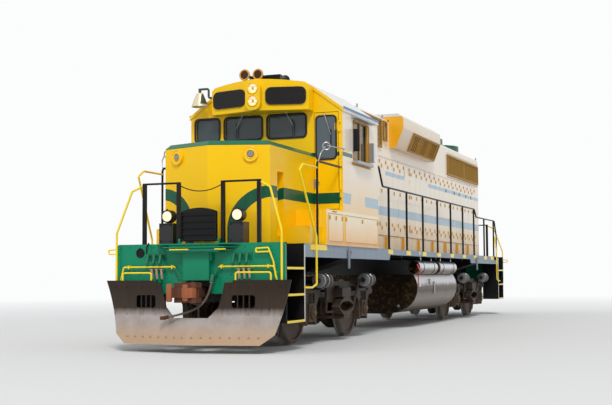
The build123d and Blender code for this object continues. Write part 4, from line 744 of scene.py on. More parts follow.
class Bench:
    """The modelling steps that the sub-assemblies share."""

    @staticmethod
    def start() -> None:
        """Leaves edit mode and selects nothing."""
        if bpy.context.mode != "OBJECT":
            bpy.ops.object.mode_set(mode="OBJECT")
        bpy.ops.object.select_all(action="DESELECT")

    @staticmethod
    def settle() -> Piece:
        """Applies the active object's place to its mesh."""
        bpy.ops.object.transform_apply(location=True, rotation=True, scale=True)
        return bpy.context.object

    @classmethod
    def block(cls, size: Triple, at: Triple, bevel: float = 0.003, turn: Triple = ORIGIN,
              segments: int = 1) -> Piece:
        """A box with its edges rounded.

        Args:
            size: its length, width and height.
            at: its centre.
            bevel: the radius of its edges.
            turn: its turn about each axis.
            segments: the steps of the rounding.

        Returns:
            The new object.
        """
        cls.start()
        bpy.ops.mesh.primitive_cube_add(size=1.0, scale=size)
        bpy.ops.object.transform_apply(scale=True)
        bpy.ops.object.mode_set(mode="EDIT")
        bpy.ops.mesh.select_all(action="SELECT")
        bpy.ops.mesh.bevel(offset=bevel, segments=segments, affect="EDGES")
        bpy.ops.object.mode_set(mode="OBJECT")
        piece = bpy.context.object
        piece.rotation_euler = turn
        piece.location = at
        return cls.settle()

    @classmethod
    def rod(cls, radius: float, length: float, at: Triple, axis: Axis = Axis.Z, sides: int = 16,
            chamfer: float = 0.002) -> Piece:
        """A round bar with chamfered ends.

        Args:
            radius: its radius.
            length: its length.
            at: its centre.
            axis: the way it points.
            sides: the number of its flats.
            chamfer: the size of the chamfer.

        Returns:
            The new object.
        """
        cls.start()
        bpy.ops.mesh.primitive_cylinder_add(vertices=sides, radius=radius, depth=length, location=at,
                                            rotation=axis.value)
        cls.settle()
        cls.soften(chamfer, 1)
        return bpy.context.object

    @classmethod
    def link(cls, start: Triple, end: Triple, radius: float, sides: int = 10) -> Piece:
        """A round bar from one point to another, its ends rounded off."""
        way = Vector(end) - Vector(start)
        cls.start()
        bpy.ops.mesh.primitive_cylinder_add(vertices=sides, radius=radius, depth=way.length)
        cls.soften(radius * 0.3)
        piece = bpy.context.object
        piece.rotation_euler = way.to_track_quat("Z", "Y").to_euler()
        piece.location = (Vector(start) + Vector(end)) / 2
        return cls.settle()

    @classmethod
    def chain(cls, route: Sequence[Triple], radius: float) -> list[Piece]:
        """Round bars from each point of a route to the next."""
        return [cls.link(start, end, radius) for start, end in zip(route, route[1:])]

    @classmethod
    def soften(cls, size: float, segments: int = 2) -> None:
        """Bevels the sharp rims of the active object."""
        bpy.ops.object.mode_set(mode="EDIT")
        bpy.ops.mesh.select_all(action="DESELECT")
        bpy.ops.mesh.edges_select_sharp(sharpness=math.radians(70))
        bpy.ops.mesh.bevel(offset=size, segments=segments, affect="EDGES")
        bpy.ops.object.mode_set(mode="OBJECT")

    @classmethod
    def ring(cls, radius: float, wire: float, at: Triple, facing: Vector = Vector((0, 0, 1)),
             steps: int = 24, sides: int = 8) -> Piece:
        """A round ring, spun from a small circle.

        Args:
            radius: from its centre to the middle of the wire.
            wire: the radius of the wire.
            at: its centre.
            facing: the way that its axis points.
            steps: the number of its sections.
            sides: the number of flats of the wire.

        Returns:
            The new object.
        """
        cls.start()
        bpy.ops.mesh.primitive_circle_add(vertices=sides, radius=wire, location=(radius, 0.0, 0.0),
                                          rotation=Axis.Y.value)
        bpy.ops.object.transform_apply(location=True, rotation=True, scale=True)
        bpy.ops.object.mode_set(mode="EDIT")
        bpy.ops.mesh.select_all(action="SELECT")
        bpy.ops.mesh.spin(steps=steps, angle=2 * math.pi, center=(0, 0, 0), axis=(0, 0, 1))
        bpy.ops.mesh.select_all(action="SELECT")
        bpy.ops.mesh.remove_doubles(threshold=0.0001)
        bpy.ops.mesh.normals_make_consistent(inside=False)
        bpy.ops.object.mode_set(mode="OBJECT")
        piece = bpy.context.object
        piece.rotation_euler = facing.to_track_quat("Z", "Y").to_euler()
        piece.location = at
        return cls.settle()

    @classmethod
    def panel(cls, width: float, height: float, corner: float, depth: float, at: Triple, facing: Vector,
              border: float = 0.0) -> Piece:
        """A plate with rounded corners, or only its border.

        Args:
            width: its width.
            height: its height.
            corner: the radius of its corners.
            depth: how far it stands out from its back plane.
            at: the centre of its back plane.
            facing: the way that its front looks.
            border: the width of the border that is kept, or 0 for a full plate.

        Returns:
            The new object.
        """
        cls.start()
        bpy.ops.mesh.primitive_plane_add(size=1.0)
        bpy.context.object.scale = (width, height, 1.0)
        bpy.ops.object.transform_apply(scale=True)
        bpy.ops.object.mode_set(mode="EDIT")
        bpy.ops.mesh.select_all(action="SELECT")
        bpy.ops.mesh.bevel(offset=corner, segments=5, affect="VERTICES")
        if border > 0:
            bpy.ops.mesh.select_all(action="SELECT")
            bpy.ops.mesh.inset(thickness=border, depth=0.0)
            bpy.ops.mesh.delete(type="FACE")
        bpy.ops.mesh.select_all(action="SELECT")
        bpy.ops.mesh.extrude_region_move(TRANSFORM_OT_translate={"value": (0.0, 0.0, depth)})
        bpy.ops.mesh.select_all(action="SELECT")
        bpy.ops.mesh.normals_make_consistent(inside=False)
        bpy.ops.object.mode_set(mode="OBJECT")
        piece = bpy.context.object
        front = facing.normalized()
        side = Vector((0, 0, 1)).cross(front).normalized()
        if side.length < 0.5:
            side = Vector((0, 1, 0))
        up = front.cross(side)
        turn = Matrix((side, up, front)).transposed().to_4x4()
        piece.matrix_world = Matrix.Translation(at) @ turn
        return cls.settle()

    @classmethod
    def repeat(cls, piece: Piece, places: Iterable[Triple]) -> Piece:
        """Copies a piece to other places and joins the copies.

        Args:
            piece: the pattern, which is used up.
            places: how far each copy is moved.

        Returns:
            One object with all the copies.
        """
        copies = []
        for place in places:
            copy = piece.copy()
            copy.data = piece.data.copy()
            copy.data.transform(Matrix.Translation(place))
            bpy.context.scene.collection.objects.link(copy)
            copies.append(copy)
        bpy.data.objects.remove(piece)
        return cls.join(copies)

    @classmethod
    def join(cls, pieces: Sequence[Piece]) -> Piece:
        """Joins pieces into the first of them."""
        cls.start()
        for piece in pieces:
            piece.select_set(True)
        bpy.context.view_layer.objects.active = pieces[0]
        if len(pieces) > 1:
            bpy.ops.object.join()
        return bpy.context.object

    @classmethod
    def fit(cls, parts: Union[Piece, Sequence[Piece]], name: str, finish: Finish, body: str = BODY,
            angle: float = 35.0) -> Piece:
        """Names a piece, gives it its finish and lets it ride on its body.

        Args:
            parts: the object, or the objects that are joined into it.
            name: its name.
            finish: its finish.
            body: the body that carries it.
            angle: edges sharper than this stay sharp, in degrees.

        Returns:
            The finished object.
        """
        piece = parts if isinstance(parts, bpy.types.Object) else cls.join(parts)
        cls.start()
        piece.select_set(True)
        bpy.context.view_layer.objects.active = piece
        bpy.ops.object.shade_smooth_by_angle(angle=math.radians(angle))
        piece.name = name
        piece.data.name = name
        piece.data.materials.clear()
        piece.data.materials.append(finish.build())
        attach(piece, body)
        log.info("%s: %d faces", name, len(piece.data.polygons))
        return piece


def both(points: Iterable[Triple]) -> list[Triple]:
    """The points and their mirror images on the other side."""
    listed = list(points)
    return listed + [(x, -y, z) for x, y, z in listed]


def on_facet(tip: float, corner: float, share: float, height: float, side: int) -> tuple[Triple, Vector]:
    """A point on a facet of a pointed front, and the way that the facet looks.

    Args:
        tip: the length at the centre line.
        corner: the length at the outer corner.
        share: how far out the point lies, from 0 to 1.
        height: its height.
        side: 1 on the left, -1 on the right.

    Returns:
        The point and the facet's normal.
    """
    place = (tip - (tip - corner) * share, side * HOOD_HALF * share, height)
    return place, Vector((HOOD_HALF, side * (tip - corner), 0.0)).normalized()


FORWARD = Vector((1, 0, 0))
LEFTWARD = Vector((0, 1, 0))


@dataclass
class CabTrim:
    """Window rubbers, panes, wipers, boards, lamp rims, horn mouths, gutters, grab irons and mirrors of the cab."""

    rubber_width: float = 0.03
    rubber_depth: float = 0.014
    wall: float = 0.05
    front_panes: tuple[tuple[float, float], ...] = ((0.06, 0.77), (-0.77, -0.06), (-1.35, -0.89))
    rear_pane: tuple[float, float] = (0.97, 1.31)
    pane_heights: tuple[float, float] = (3.56, 3.95)
    side_pane: tuple[float, float, float, float] = (4.43, 5.28, 3.18, 3.86)
    door_pane: tuple[float, float, float, float] = (0.975, 1.325, 3.15, 3.885)
    rear_door_pane: tuple[float, float, float, float] = (-1.295, -1.055, 3.25, 3.815)
    handle_height: float = 2.72
    wiper_height: float = 3.985
    wing_mirror: tuple[float, float] = (5.315, 3.515)
    board: tuple[float, float] = (0.68, 0.275)
    board_share: float = 0.58
    board_height: float = 4.235
    lamp_heights: tuple[float, float] = (4.15, 4.37)
    class_light: tuple[float, float] = (0.69, 3.045)
    ditch_light: Triple = (8.331, 0.6, 2.08)
    iron_heights: tuple[float, float] = (2.62, 3.1)
    horn_mouths: tuple[Triple, ...] = ((5.98, -0.33, 4.69), (5.94, -0.09, 4.69))

    def build(self) -> None:
        """Makes all the trim."""
        self._front_rubbers()
        self._side_windows()
        self._door_panes()
        self._wipers()
        self._boards()
        self._lamps()
        self._ditch_lights()
        self._horn_mouths()
        self._gutters()
        self._grab_irons()
        self._mirror_arms()

    def _frame(self, span: tuple[float, float], heights: tuple[float, float], at_x: float, facing: Vector,
               border: float) -> Piece:
        """A rounded border round a window in an end wall."""
        return Bench.panel(
            span[1] - span[0] + 2 * border, heights[1] - heights[0] + 2 * border, 0.06 + border,
            self.rubber_depth, (at_x, sum(span) / 2, sum(heights) / 2), facing, border + 0.004)

    def _front_rubbers(self) -> None:
        """Rubbers round the windshields and the rear window."""
        frames = [self._frame(span, self.pane_heights, CAB_FRONT, FORWARD, self.rubber_width)
                  for span in self.front_panes]
        frames.append(self._frame(self.rear_pane, self.pane_heights, CAB_REAR, -FORWARD, self.rubber_width))
        Bench.fit(frames, "window_rubbers", seal)

    def _side_windows(self) -> None:
        """Sash frames, sills, mirrors and wind wings on both sides."""
        x0, x1, z0, z1 = self.side_pane
        middle = ((x0 + x1) / 2, (z0 + z1) / 2)
        wing_x, wing_z = self.wing_mirror
        frames, sashes, wings, glasses = [], [], [], []
        for side in SIDES:
            face = side * CAB_HALF
            frames.append(Bench.panel(x1 - x0 + 0.05, z1 - z0 + 0.05, 0.07, 0.016, (middle[0], face, middle[1]),
                                      Vector((0, side, 0)), 0.03))
            sashes.append(Bench.block((0.05, 0.02, z1 - z0), (middle[0] + 0.03, face - side * 0.012, middle[1])))
            sashes.append(Bench.block((0.10, 0.03, z1 - z0 - 0.02), (x0 + 0.07, face, middle[1])))
            sashes.append(Bench.block((1.04, 0.012, 0.05), (middle[0], face + side * 0.008, z0 - 0.075)))
            wings.append(Bench.block((0.036, 0.12, 0.40), (wing_x, face + side * 0.07, wing_z), 0.012, segments=2))
            glasses.append(Bench.block((0.008, 0.09, 0.34), (wing_x - 0.021, face + side * 0.07, wing_z)))
            glasses.append(Bench.block((0.09, 0.012, 0.34), (4.365, face + side * 0.094, 3.38)))
        Bench.fit(frames + sashes, "side_sashes", ochre)
        Bench.fit(wings, "mirror_backs", rail_black)
        Bench.fit(glasses, "mirror_glass", mirror_silver)

    def _door_panes(self) -> None:
        """Panes, rubbers and handles that move with the two cab doors."""
        for door, pane, wall_x, way in (("cab_door_front", self.door_pane, CAB_FRONT, 1),
                                        ("cab_door_rear", self.rear_door_pane, CAB_REAR, -1)):
            y0, y1, z0, z1 = pane
            middle_y, middle_z = (y0 + y1) / 2, (z0 + z1) / 2
            grip_z = self.handle_height + 0.02
            facing = way * FORWARD
            rubber_ring = self._frame((y0, y1), (z0, z1), wall_x, facing, 0.022)
            Bench.fit(rubber_ring, f"{door}_rubber", seal, door)
            inner_x = wall_x - way * self.wall
            panes = [Bench.panel(y1 - y0 + 0.02, z1 - z0 + 0.02, 0.06, 0.006, (face, middle_y, middle_z), look)
                     for face, look in ((wall_x, facing), (inner_x, -facing))]
            Bench.fit(panes, f"{door}_pane", door_glass, door)
            handle = [Bench.block((0.012, 0.05, 0.16), (wall_x + way * 0.006, y0 - way * 0.035, self.handle_height)),
                      Bench.block((0.018, 0.11, 0.022), (wall_x + way * 0.028, y0 + 0.01, grip_z), 0.006),
                      Bench.rod(0.012, 0.03, (wall_x + way * 0.015, y0 - 0.03, grip_z), Axis.X)]
            Bench.fit(handle, f"{door}_handle", bare_steel, door)

    def _wipers(self) -> None:
        """Arms and blades on the windshields and the front door's pane."""
        arms, blades = [], []
        for y, reach in ((0.42, 0.12), (-0.42, -0.12)):
            arms.append(Bench.link((CAB_FRONT + 0.03, y, self.wiper_height), (CAB_FRONT + 0.024, y + reach, 3.76),
                                   0.006))
            arms.append(Bench.rod(0.018, 0.034, (CAB_FRONT + 0.016, y, self.wiper_height), Axis.X))
            blades.append(Bench.block((0.012, 0.016, 0.27), (CAB_FRONT + 0.018, y + reach, 3.72)))
        Bench.fit(arms, "wiper_arms", bare_steel)
        Bench.fit(blades, "wiper_blades", seal)
        arm = [Bench.link((CAB_FRONT + 0.03, 1.13, 3.915), (CAB_FRONT + 0.02, 1.24, 3.56), 0.007),
               Bench.rod(0.02, 0.034, (CAB_FRONT + 0.016, 1.13, 3.915), Axis.X)]
        Bench.fit(arm, "door_wiper_arm", bare_steel, "cab_door_front")
        blade_piece = Bench.block((0.014, 0.018, 0.32), (CAB_FRONT + 0.012, 1.24, 3.50))
        Bench.fit(blade_piece, "door_wiper_blade", seal, "cab_door_front")

    def _boards(self) -> None:
        """Blank black boards on the visor's facets, with a rubber rim."""
        plates, rims = [], []
        for side in SIDES:
            place, facing = on_facet(VISOR_TIP, VISOR_CORNER, self.board_share, self.board_height, side)
            plates.append(Bench.panel(*self.board, 0.09, 0.02, place, facing))
            rims.append(Bench.panel(self.board[0] + 0.03, self.board[1] + 0.03, 0.1, 0.024, place, facing, 0.016))
        Bench.fit(plates, "blank_boards", blank_black)
        Bench.fit(rims, "board_rims", seal)

    def _lamps(self) -> None:
        """Rims and bars of the headlights, and the class lights with their domed glass."""
        rims = [Bench.ring(0.094, 0.013, (VISOR_TIP + 0.072, 0.0, z), FORWARD) for z in self.lamp_heights]
        glasses = []
        for side in SIDES:
            place, facing = on_facet(NOSE_TIP, NOSE_CORNER, *self.class_light, side)
            rims.append(Bench.ring(0.066, 0.009, tuple(Vector(place) + facing * 0.034), facing))
            rims.append(Bench.ring(0.115, 0.007, tuple(Vector(place) + facing * 0.034), facing))
            dome = Bench.rod(0.056, 0.03, ORIGIN, Axis.Z, 24, 0.014)
            dome.rotation_euler = facing.to_track_quat("Z", "Y").to_euler()
            dome.location = Vector(place) + facing * 0.03
            glasses.append(Bench.settle())
        Bench.fit(rims, "lamp_rims", yellow)
        Bench.fit(glasses, "class_lenses", class_lens)
        bars = [Bench.block((0.006, 0.17, 0.006), (VISOR_TIP + 0.058, 0.0, z + shift), 0.001)
                for z in self.lamp_heights for shift in (-0.03, 0.03)]
        bars += [Bench.rod(0.022, 0.012, (VISOR_TIP + 0.06, 0.0, z), Axis.X, 14) for z in self.lamp_heights]
        Bench.fit(bars, "lamp_bars", lamp_amber)

    def _ditch_lights(self) -> None:
        """Rims, clips, foot bolts and ledges of the ditch lights."""
        x, reach, z = self.ditch_light
        parts = []
        for side in SIDES:
            y = side * reach
            parts.append(Bench.ring(0.091, 0.01, (x, y, z), FORWARD))
            for turn in range(3):
                angle = math.radians(90 + 120 * turn)
                parts.append(Bench.block((0.03, 0.02, 0.02), (
                    x - 0.009, y + 0.104 * math.cos(angle), z + 0.104 * math.sin(angle))))
            parts += [Bench.rod(0.012, 0.014, (x + 0.033, y + shift, height), Axis.X, 6)
                      for shift in (-0.09, 0.09) for height in (1.69, 1.93)]
            parts.append(Bench.block((0.016, 0.20, 0.012), (x + 0.035, y, 1.955)))
        Bench.fit(parts, "ditch_light_rims", rail_black)

    def _horn_mouths(self) -> None:
        """Brass rims of the two forward horns, and dark discs in their mouths as painted shade of the throats."""
        rims = [Bench.ring(0.086, 0.017, mouth, FORWARD, 28, 10) for mouth in self.horn_mouths]
        Bench.fit(rims, "horn_rims", brass)
        throats = [Bench.rod(0.074, 0.008, (x + 0.003, y, z), Axis.X, 20) for x, y, z in self.horn_mouths]
        Bench.fit(throats, "horn_throats", mouth_shade)

    def _gutters(self) -> None:
        """Drip rails along the eaves in a blue painted reflection, with a thin orange strip of painted shadow under
        each.
        """
        length, middle = CAB_FRONT - CAB_REAR, (CAB_FRONT + CAB_REAR) / 2
        upper = [Bench.block((length + 0.02, 0.014, 0.032), (middle, side * 1.476, 4.03), 0.004)
                 for side in SIDES]
        lower = [Bench.block((length, 0.012, 0.018), (middle, side * (CAB_HALF + 0.004), 3.985), 0.003)
                 for side in SIDES]
        Bench.fit(upper, "gutters", gutter_reflection_blue)
        Bench.fit(lower, "gutter_shadow_strips", gutter_shadow_orange)

    def _grab_irons(self) -> None:
        """Grab irons on the cab's corner posts."""
        irons = []
        low, high = self.iron_heights
        for side in SIDES:
            x, y = CAB_FRONT + 0.045, side * (CAB_HALF - 0.035)
            irons.append(Bench.link((x, y, low), (x, y, high), 0.011))
            for z in (low, high):
                irons.append(Bench.link((CAB_FRONT - 0.002, y, z), (x + 0.008, y, z), 0.011))
        Bench.fit(irons, "cab_grab_irons", rail_yellow)

    def _mirror_arms(self) -> None:
        """Curved arms from the rail posts to the cab, each with a round mirror frame."""
        arms = []
        for side in SIDES:
            foot, y = (6.985, side * 1.408, 2.93), side * 1.475
            arms += Bench.chain([foot, (6.94, side * 1.45, 3.12), (6.80, y, 3.24)], 0.011)
            arms.append(Bench.ring(0.06, 0.011, (6.74, y, 3.255), Vector((0.9, side * 0.43, 0)), 28, 8))
            arms += Bench.chain([(6.68, y, 3.27), (5.83, y, 3.30), (5.83, side * 1.445, 3.30)], 0.011)
            arms.append(Bench.link(foot, (6.985, side * 1.408, 2.975), 0.011))
        Bench.fit(arms, "mirror_arms", bare_steel)


@dataclass
class HoodHardware:
    """Latches, gussets, sills, bolts, lifting eyes, seams and box doors of the hood and the walkway's boxes."""

    door_middles: tuple[float, ...] = tuple(DOOR_PITCH * n for n in range(7, -16, -1) if n)
    latch_rows: tuple[tuple[float, float], ...] = ((2.12, 0.15), (2.2, -0.15), (2.88, 0.15), (3.40, 0.15),
                                                   (3.49, -0.15))
    latch: Triple = (0.042, 0.02, 0.078)
    first_post: float = 2.93
    sill_height: float = 1.962
    radiator: tuple[float, float, float, float] = (-7.40, -3.77, 3.69, 4.22)
    eye_lengths: tuple[float, ...] = (3.3, 1.62, -3.3, -7.5)
    plate_lengths: tuple[float, ...] = (-3.6, -4.5, -5.05, -5.85, -6.45)
    strip_lengths: tuple[float, ...] = (3.39, 1.80, 0.69, -1.575, -2.475, -6.97)
    rod_height: float = 3.60
    box_door: tuple[float, float] = (0.465, 1.9375)

    def build(self) -> None:
        """Makes all the hardware."""
        self._latches()
        self._gussets()
        self._bolts()
        self._lifting_eyes()
        self._squares()
        self._seams()
        self._box_doors()

    def _latches(self) -> None:
        """Latch handles at five places on every hood door, those of the engine doors moving with them."""
        pattern = Bench.block(self.latch, ORIGIN, 0.007)
        places = both((middle + shift, HOOD_FACE + 0.006, z)
                      for middle in self.door_middles for z, shift in self.latch_rows)
        Bench.fit(Bench.repeat(pattern, places), "hood_latches", latch_ochre)
        for side, door in ((1, "engine_door_left"), (-1, "engine_door_right")):
            latches = [Bench.block(self.latch, (-0.15, side * (HOOD_FACE + 0.006), z), 0.007)
                       for z, _ in self.latch_rows]
            Bench.fit(latches, f"{door}_latches", latch_ochre, door)

    def _gussets(self) -> None:
        """Yellow gussets at the hood's foot, one behind each rail post, and the sills under the doors."""
        pattern = Bench.block((0.05, 0.044, 0.30), ORIGIN, 0.008)
        places = both((self.first_post - POST_PITCH * n, HOOD_HALF + 0.02, DECK + 0.152) for n in range(8))
        Bench.fit(Bench.repeat(pattern, places), "hood_gussets", gusset_yellow)
        pattern = Bench.block((0.42, 0.012, 0.012), ORIGIN, 0.003)
        places = both((middle, HOOD_HALF + 0.005, self.sill_height) for middle in self.door_middles)
        Bench.fit(Bench.repeat(pattern, places), "door_sills", ochre)

    def _bolts(self) -> None:
        """Bolt heads round the radiator screens and along the roof's edge."""
        x0, x1, z0, z1 = self.radiator
        pattern = Bench.rod(0.011, 0.012, ORIGIN, Axis.Y, 6, 0.003)
        across = [x0 + 0.06 + n * (x1 - x0 - 0.12) / 33 for n in range(34)]
        places = [(x, HOOD_HALF + 0.004, z) for x in across for z in (z0 - 0.045, z1 + 0.04)]
        places += [(x, HOOD_HALF + 0.004, 4.352) for x in (3.6 - 0.15 * n for n in range(12))]
        Bench.fit(Bench.repeat(pattern, both(places)), "hood_bolts", ochre)

    def _lifting_eyes(self) -> None:
        """Rings along the roof's edge."""
        eyes = [Bench.ring(0.042, 0.009, (x, side * (HOOD_HALF - 0.055), HOOD_TOP + 0.03), LEFTWARD, 16, 6)
                for x in self.eye_lengths for side in SIDES]
        Bench.fit(eyes, "lifting_eyes", bare_steel)

    def _squares(self) -> None:
        """Small green plates in the upper stripe towards the rear."""
        pattern = Bench.block((0.07, 0.01, 0.085), ORIGIN, 0.003)
        places = both((x, HOOD_FACE + 0.003, 3.27) for x in self.plate_lengths)
        Bench.fit(Bench.repeat(pattern, places), "hood_green_plates", dark_green)

    def _seams(self) -> None:
        """Upright cover strips between the groups of doors, and the hinge rods over the doors."""
        strips = [Bench.block((0.022, 0.024, 1.66), (x, side * (HOOD_HALF + 0.008), 2.78), 0.004)
                  for x in self.strip_lengths for side in SIDES]
        Bench.fit(strips, "seam_strips", hood_paint)
        rods = []
        for side in SIDES:
            front, rear = ((x, side * (HOOD_HALF + 0.012), self.rod_height) for x in (3.75, -6.95))
            rods.append(Bench.link(front, rear, 0.008))
        Bench.fit(rods, "door_hinge_rods", hood_paint)

    def _box_doors(self) -> None:
        """Seams, latches and grips on the doors of the equipment boxes."""
        seams, latches = [], []
        height, level = self.box_door
        for side in SIDES:
            face = side * (CAB_HALF + DOOR_PROUD)
            for x0, x1 in ((CAB_REAR + 0.06, CAB_FRONT - 0.04), (CAB_FRONT + 0.04, 6.64)):
                place = ((x0 + x1) / 2, face - side * 0.001, level)
                seams.append(Bench.panel(x1 - x0 - 0.02, height, 0.02, 0.004, place, Vector((0, side, 0)), 0.009))
                for x in (x0 + 0.06, (x0 + x1) / 2, x1 - 0.06):
                    latches.append(Bench.block((0.035, 0.02, 0.07), (x, face + side * 0.008, 2.10), 0.006))
            latches.append(Bench.block((0.20, 0.016, 0.02), (6.30, side * (CAB_HALF + 0.006), 2.205), 0.005))
        Bench.fit(seams, "box_seams", ochre)
        Bench.fit(latches, "box_latches", latch_ochre)


@dataclass
class RoofDress:
    """Fan bolts, deflector wedges, seams and the hatch on the roof."""

    fans: tuple[tuple[float, float], ...] = ((-4.42, 4.7), (-6.25, 4.7), (-0.26, 4.7))
    fan_radius: float = 0.61

    def build(self) -> None:
        """Makes the roof's fittings."""
        heads = []
        radius = self.fan_radius + 0.014
        for x, top in self.fans:
            for angle in (2 * math.pi * n / 16 for n in range(16)):
                heads.append((x + radius * math.cos(angle), radius * math.sin(angle), top + 0.003))
        Bench.fit(Bench.repeat(Bench.rod(0.012, 0.012, ORIGIN, Axis.Z, 6, 0.003), heads),
                  "fan_bolts", bare_steel)
        wedges = [Bench.block((size, 0.11, 0.12), (x, side * (HOOD_HALF - 0.1), HOOD_TOP + 0.055), 0.02)
                  for x, size in ((-2.75, 0.34), (-3.28, 0.30)) for side in SIDES]
        Bench.fit(wedges, "roof_deflectors", dark_green)
        seams = [Bench.block((0.05, 1.5, 0.014), (x, 0.0, HOOD_TOP + 0.005), 0.004)
                 for x in (3.2, 2.2, -3.6, -5.33, -7.05)]
        Bench.fit(seams, "roof_seams", roof_plain)
        hatch = [Bench.block((0.62, 0.75, 0.06), (2.7, 0.0, HOOD_TOP + 0.028), 0.02, segments=2),
                 Bench.rod(0.09, 0.09, (4.5, 0.45, 4.57), Axis.Z, 20, 0.02),
                 Bench.rod(0.05, 0.14, (4.5, -0.5, 4.585), Axis.Z, 16, 0.02)]
        Bench.fit(hatch, "roof_hatch", roof_plain)


@dataclass
class EndDress:
    """Receptacles, hooks, bolts, grips, air cocks and coupler trim at both ends, and the hand brake's lever."""

    rib_height: float = 1.55
    first_cock: float = 0.655
    cock_pitch: float = 0.085
    knuckle_pin: tuple[float, float] = (8.88, 0.135)
    coupler_height: float = 0.901

    def build(self) -> None:
        """Makes the end fittings."""
        self._receptacles()
        self._anticlimber()
        self._plough_bolts()
        self._pilot_bolts()
        self._brake_lever()
        self._hose_fittings()
        self._lever_grips()
        self._cocks()
        self._knuckle_pins()

    def _receptacles(self) -> None:
        """Cable receptacles with spring lids, one on each pilot, and a hook for the spare cable."""
        covers, rings = [], []
        for end in ENDS:
            x = end * PILOT
            covers.append(Bench.block((0.07, 0.17, 0.15), (x + end * 0.033, end * 0.17, 1.452), 0.012, segments=2))
            covers.append(Bench.block((0.03, 0.19, 0.02), (x + end * 0.055, end * 0.17, 1.535), 0.004))
            rings.append(Bench.ring(0.062, 0.012, (x + end * 0.006, -end * 1.01, 1.51), FORWARD, 20, 8))
            rings.append(Bench.rod(0.052, 0.01, (x + end * 0.003, -end * 1.01, 1.51), Axis.X, 20))
            rings.append(Bench.link((x + end * 0.004, -end * 0.86, 1.66), (x + end * 0.07, -end * 0.86, 1.60), 0.013))
            rings.append(Bench.link((x + end * 0.07, -end * 0.86, 1.607), (x + end * 0.07, -end * 0.86, 1.50), 0.013))
        Bench.fit(covers, "receptacle_lids", green)
        Bench.fit(rings, "cable_hooks", rail_black)

    def _anticlimber(self) -> None:
        """Yellow edges under the end platform."""
        edges = []
        for end in ENDS:
            for side, middle, length in ((-1, 0.235, 0.33), (1, 0.46, 0.19)):
                place = (end * (PILOT + PLATFORM_REACH + 0.001), side * middle, self.rib_height)
                edges.append(Bench.block((0.008, length, 0.018), place, 0.003))
        Bench.fit(edges, "platform_edges", rail_yellow)

    def _plough_bolts(self) -> None:
        """Bolt heads on the blade's wings, and the cutting edge's row."""
        heads = []
        for y in (0.62, 0.90, 1.18, 1.40):
            for z in (0.58, 0.98):
                heads.append((self._blade_front(y, z), y, z))
        for n in range(8):
            y = 0.08 + n * 0.145
            heads.append((self._blade_front(y, 0.235), y, 0.235))
        Bench.fit(Bench.repeat(Bench.rod(0.016, 0.02, ORIGIN, Axis.X, 6, 0.004), both(heads)),
                  "plough_bolts", blade)

    @staticmethod
    def _blade_front(y: float, z: float) -> float:
        """The length of the blade's front face at that width and height."""
        share = y / 1.56
        top, foot, bow = 8.73 - 0.21 * share, 8.90 - 0.26 * share, 0.095 - 0.015 * share
        rise = (z - 0.125) / 0.96
        return foot + (top - foot) * rise - 4 * bow * rise * (1 - rise)

    def _pilot_bolts(self) -> None:
        """Bolt heads round the pilots' edges."""
        places = []
        for end in ENDS:
            places += [(end * (PILOT + 0.004), y, z) for y in (0.55, 1.02, 1.36) for z in (1.60, 1.18)]
            places += [(end * (PILOT + 0.004), y, 1.60) for y in (0.78, 1.2)]
        Bench.fit(Bench.repeat(Bench.rod(0.014, 0.014, ORIGIN, Axis.X, 6, 0.003), both(places)),
                  "pilot_bolts", green)

    def _brake_lever(self) -> None:
        """Hand brake lever and chain drum in the nose's recess."""
        face = HOOD_HALF - 0.13
        lever = [Bench.rod(0.07, 0.06, (7.36, face + 0.028, 2.08), Axis.Y, 20, 0.01),
                 Bench.link((7.36, face + 0.07, 2.08), (7.40, face + 0.07, 2.55), 0.016),
                 Bench.link((7.40, face + 0.0, 2.52), (7.40, face + 0.10, 2.52), 0.022)]
        Bench.fit(lever, "brake_lever", rail_yellow)

    def _hose_fittings(self) -> None:
        """Clamps on the brake hose's fittings."""
        clamps = [Bench.ring(0.026, 0.005, (8.572, 0.289, 1.045), Vector((0.25, -0.09, -0.96)), 16, 6),
                  Bench.ring(0.026, 0.005, (8.783, -0.27, 0.548), Vector((0.14, -0.95, -0.18)), 16, 6)]
        Bench.fit(clamps, "hose_clamps", bare_steel)

    def _lever_grips(self) -> None:
        """Loops at the outer ends of the uncoupling levers."""
        grips = []
        for end in ENDS:
            x = end * (PILOT + 0.062)
            inner = [(1.305, 1.12), (1.268, 1.356), (1.185, 1.565), (0.985, 1.555), (0.985, 1.50), (1.205, 1.505)]
            outer = [(-RAIL_SIDE, 1.572), (-1.545, 1.556), (-1.54, 1.50), (-RAIL_SIDE, 1.495)]
            for route in (inner, outer):
                points = [(x, end * y, z) for y, z in route]
                grips += Bench.chain(points, 0.013)
            for y, z in ((1.03, 1.50), (1.29, 1.20)):
                grips.append(Bench.link((end * (PILOT - 0.002), end * y, z), (x, end * y, z), 0.012))
        Bench.fit(grips, "lever_grips", rail_yellow)

    def _cocks(self) -> None:
        """Three air cocks on each side of both couplers, with hanging ends."""
        cocks = []
        for end in ENDS:
            for side in SIDES:
                for n in range(3):
                    y = end * (side * (self.first_cock + self.cock_pitch * n) + 0.04)
                    root, elbow, bend, mouth = (end * (PILOT + reach) for reach in (-0.002, 0.05, 0.048, 0.06))
                    cocks.append(Bench.link((root, y, 1.235), (elbow, y, 1.225), 0.017, 8))
                    cocks.append(Bench.link((bend, y, 1.24), (mouth, y + 0.02, 1.10), 0.02, 8))
                    cocks.append(Bench.block((0.03, 0.05, 0.02), (elbow, y, 1.25), 0.005))
        Bench.fit(cocks, "air_cocks", cock_iron_highlit)

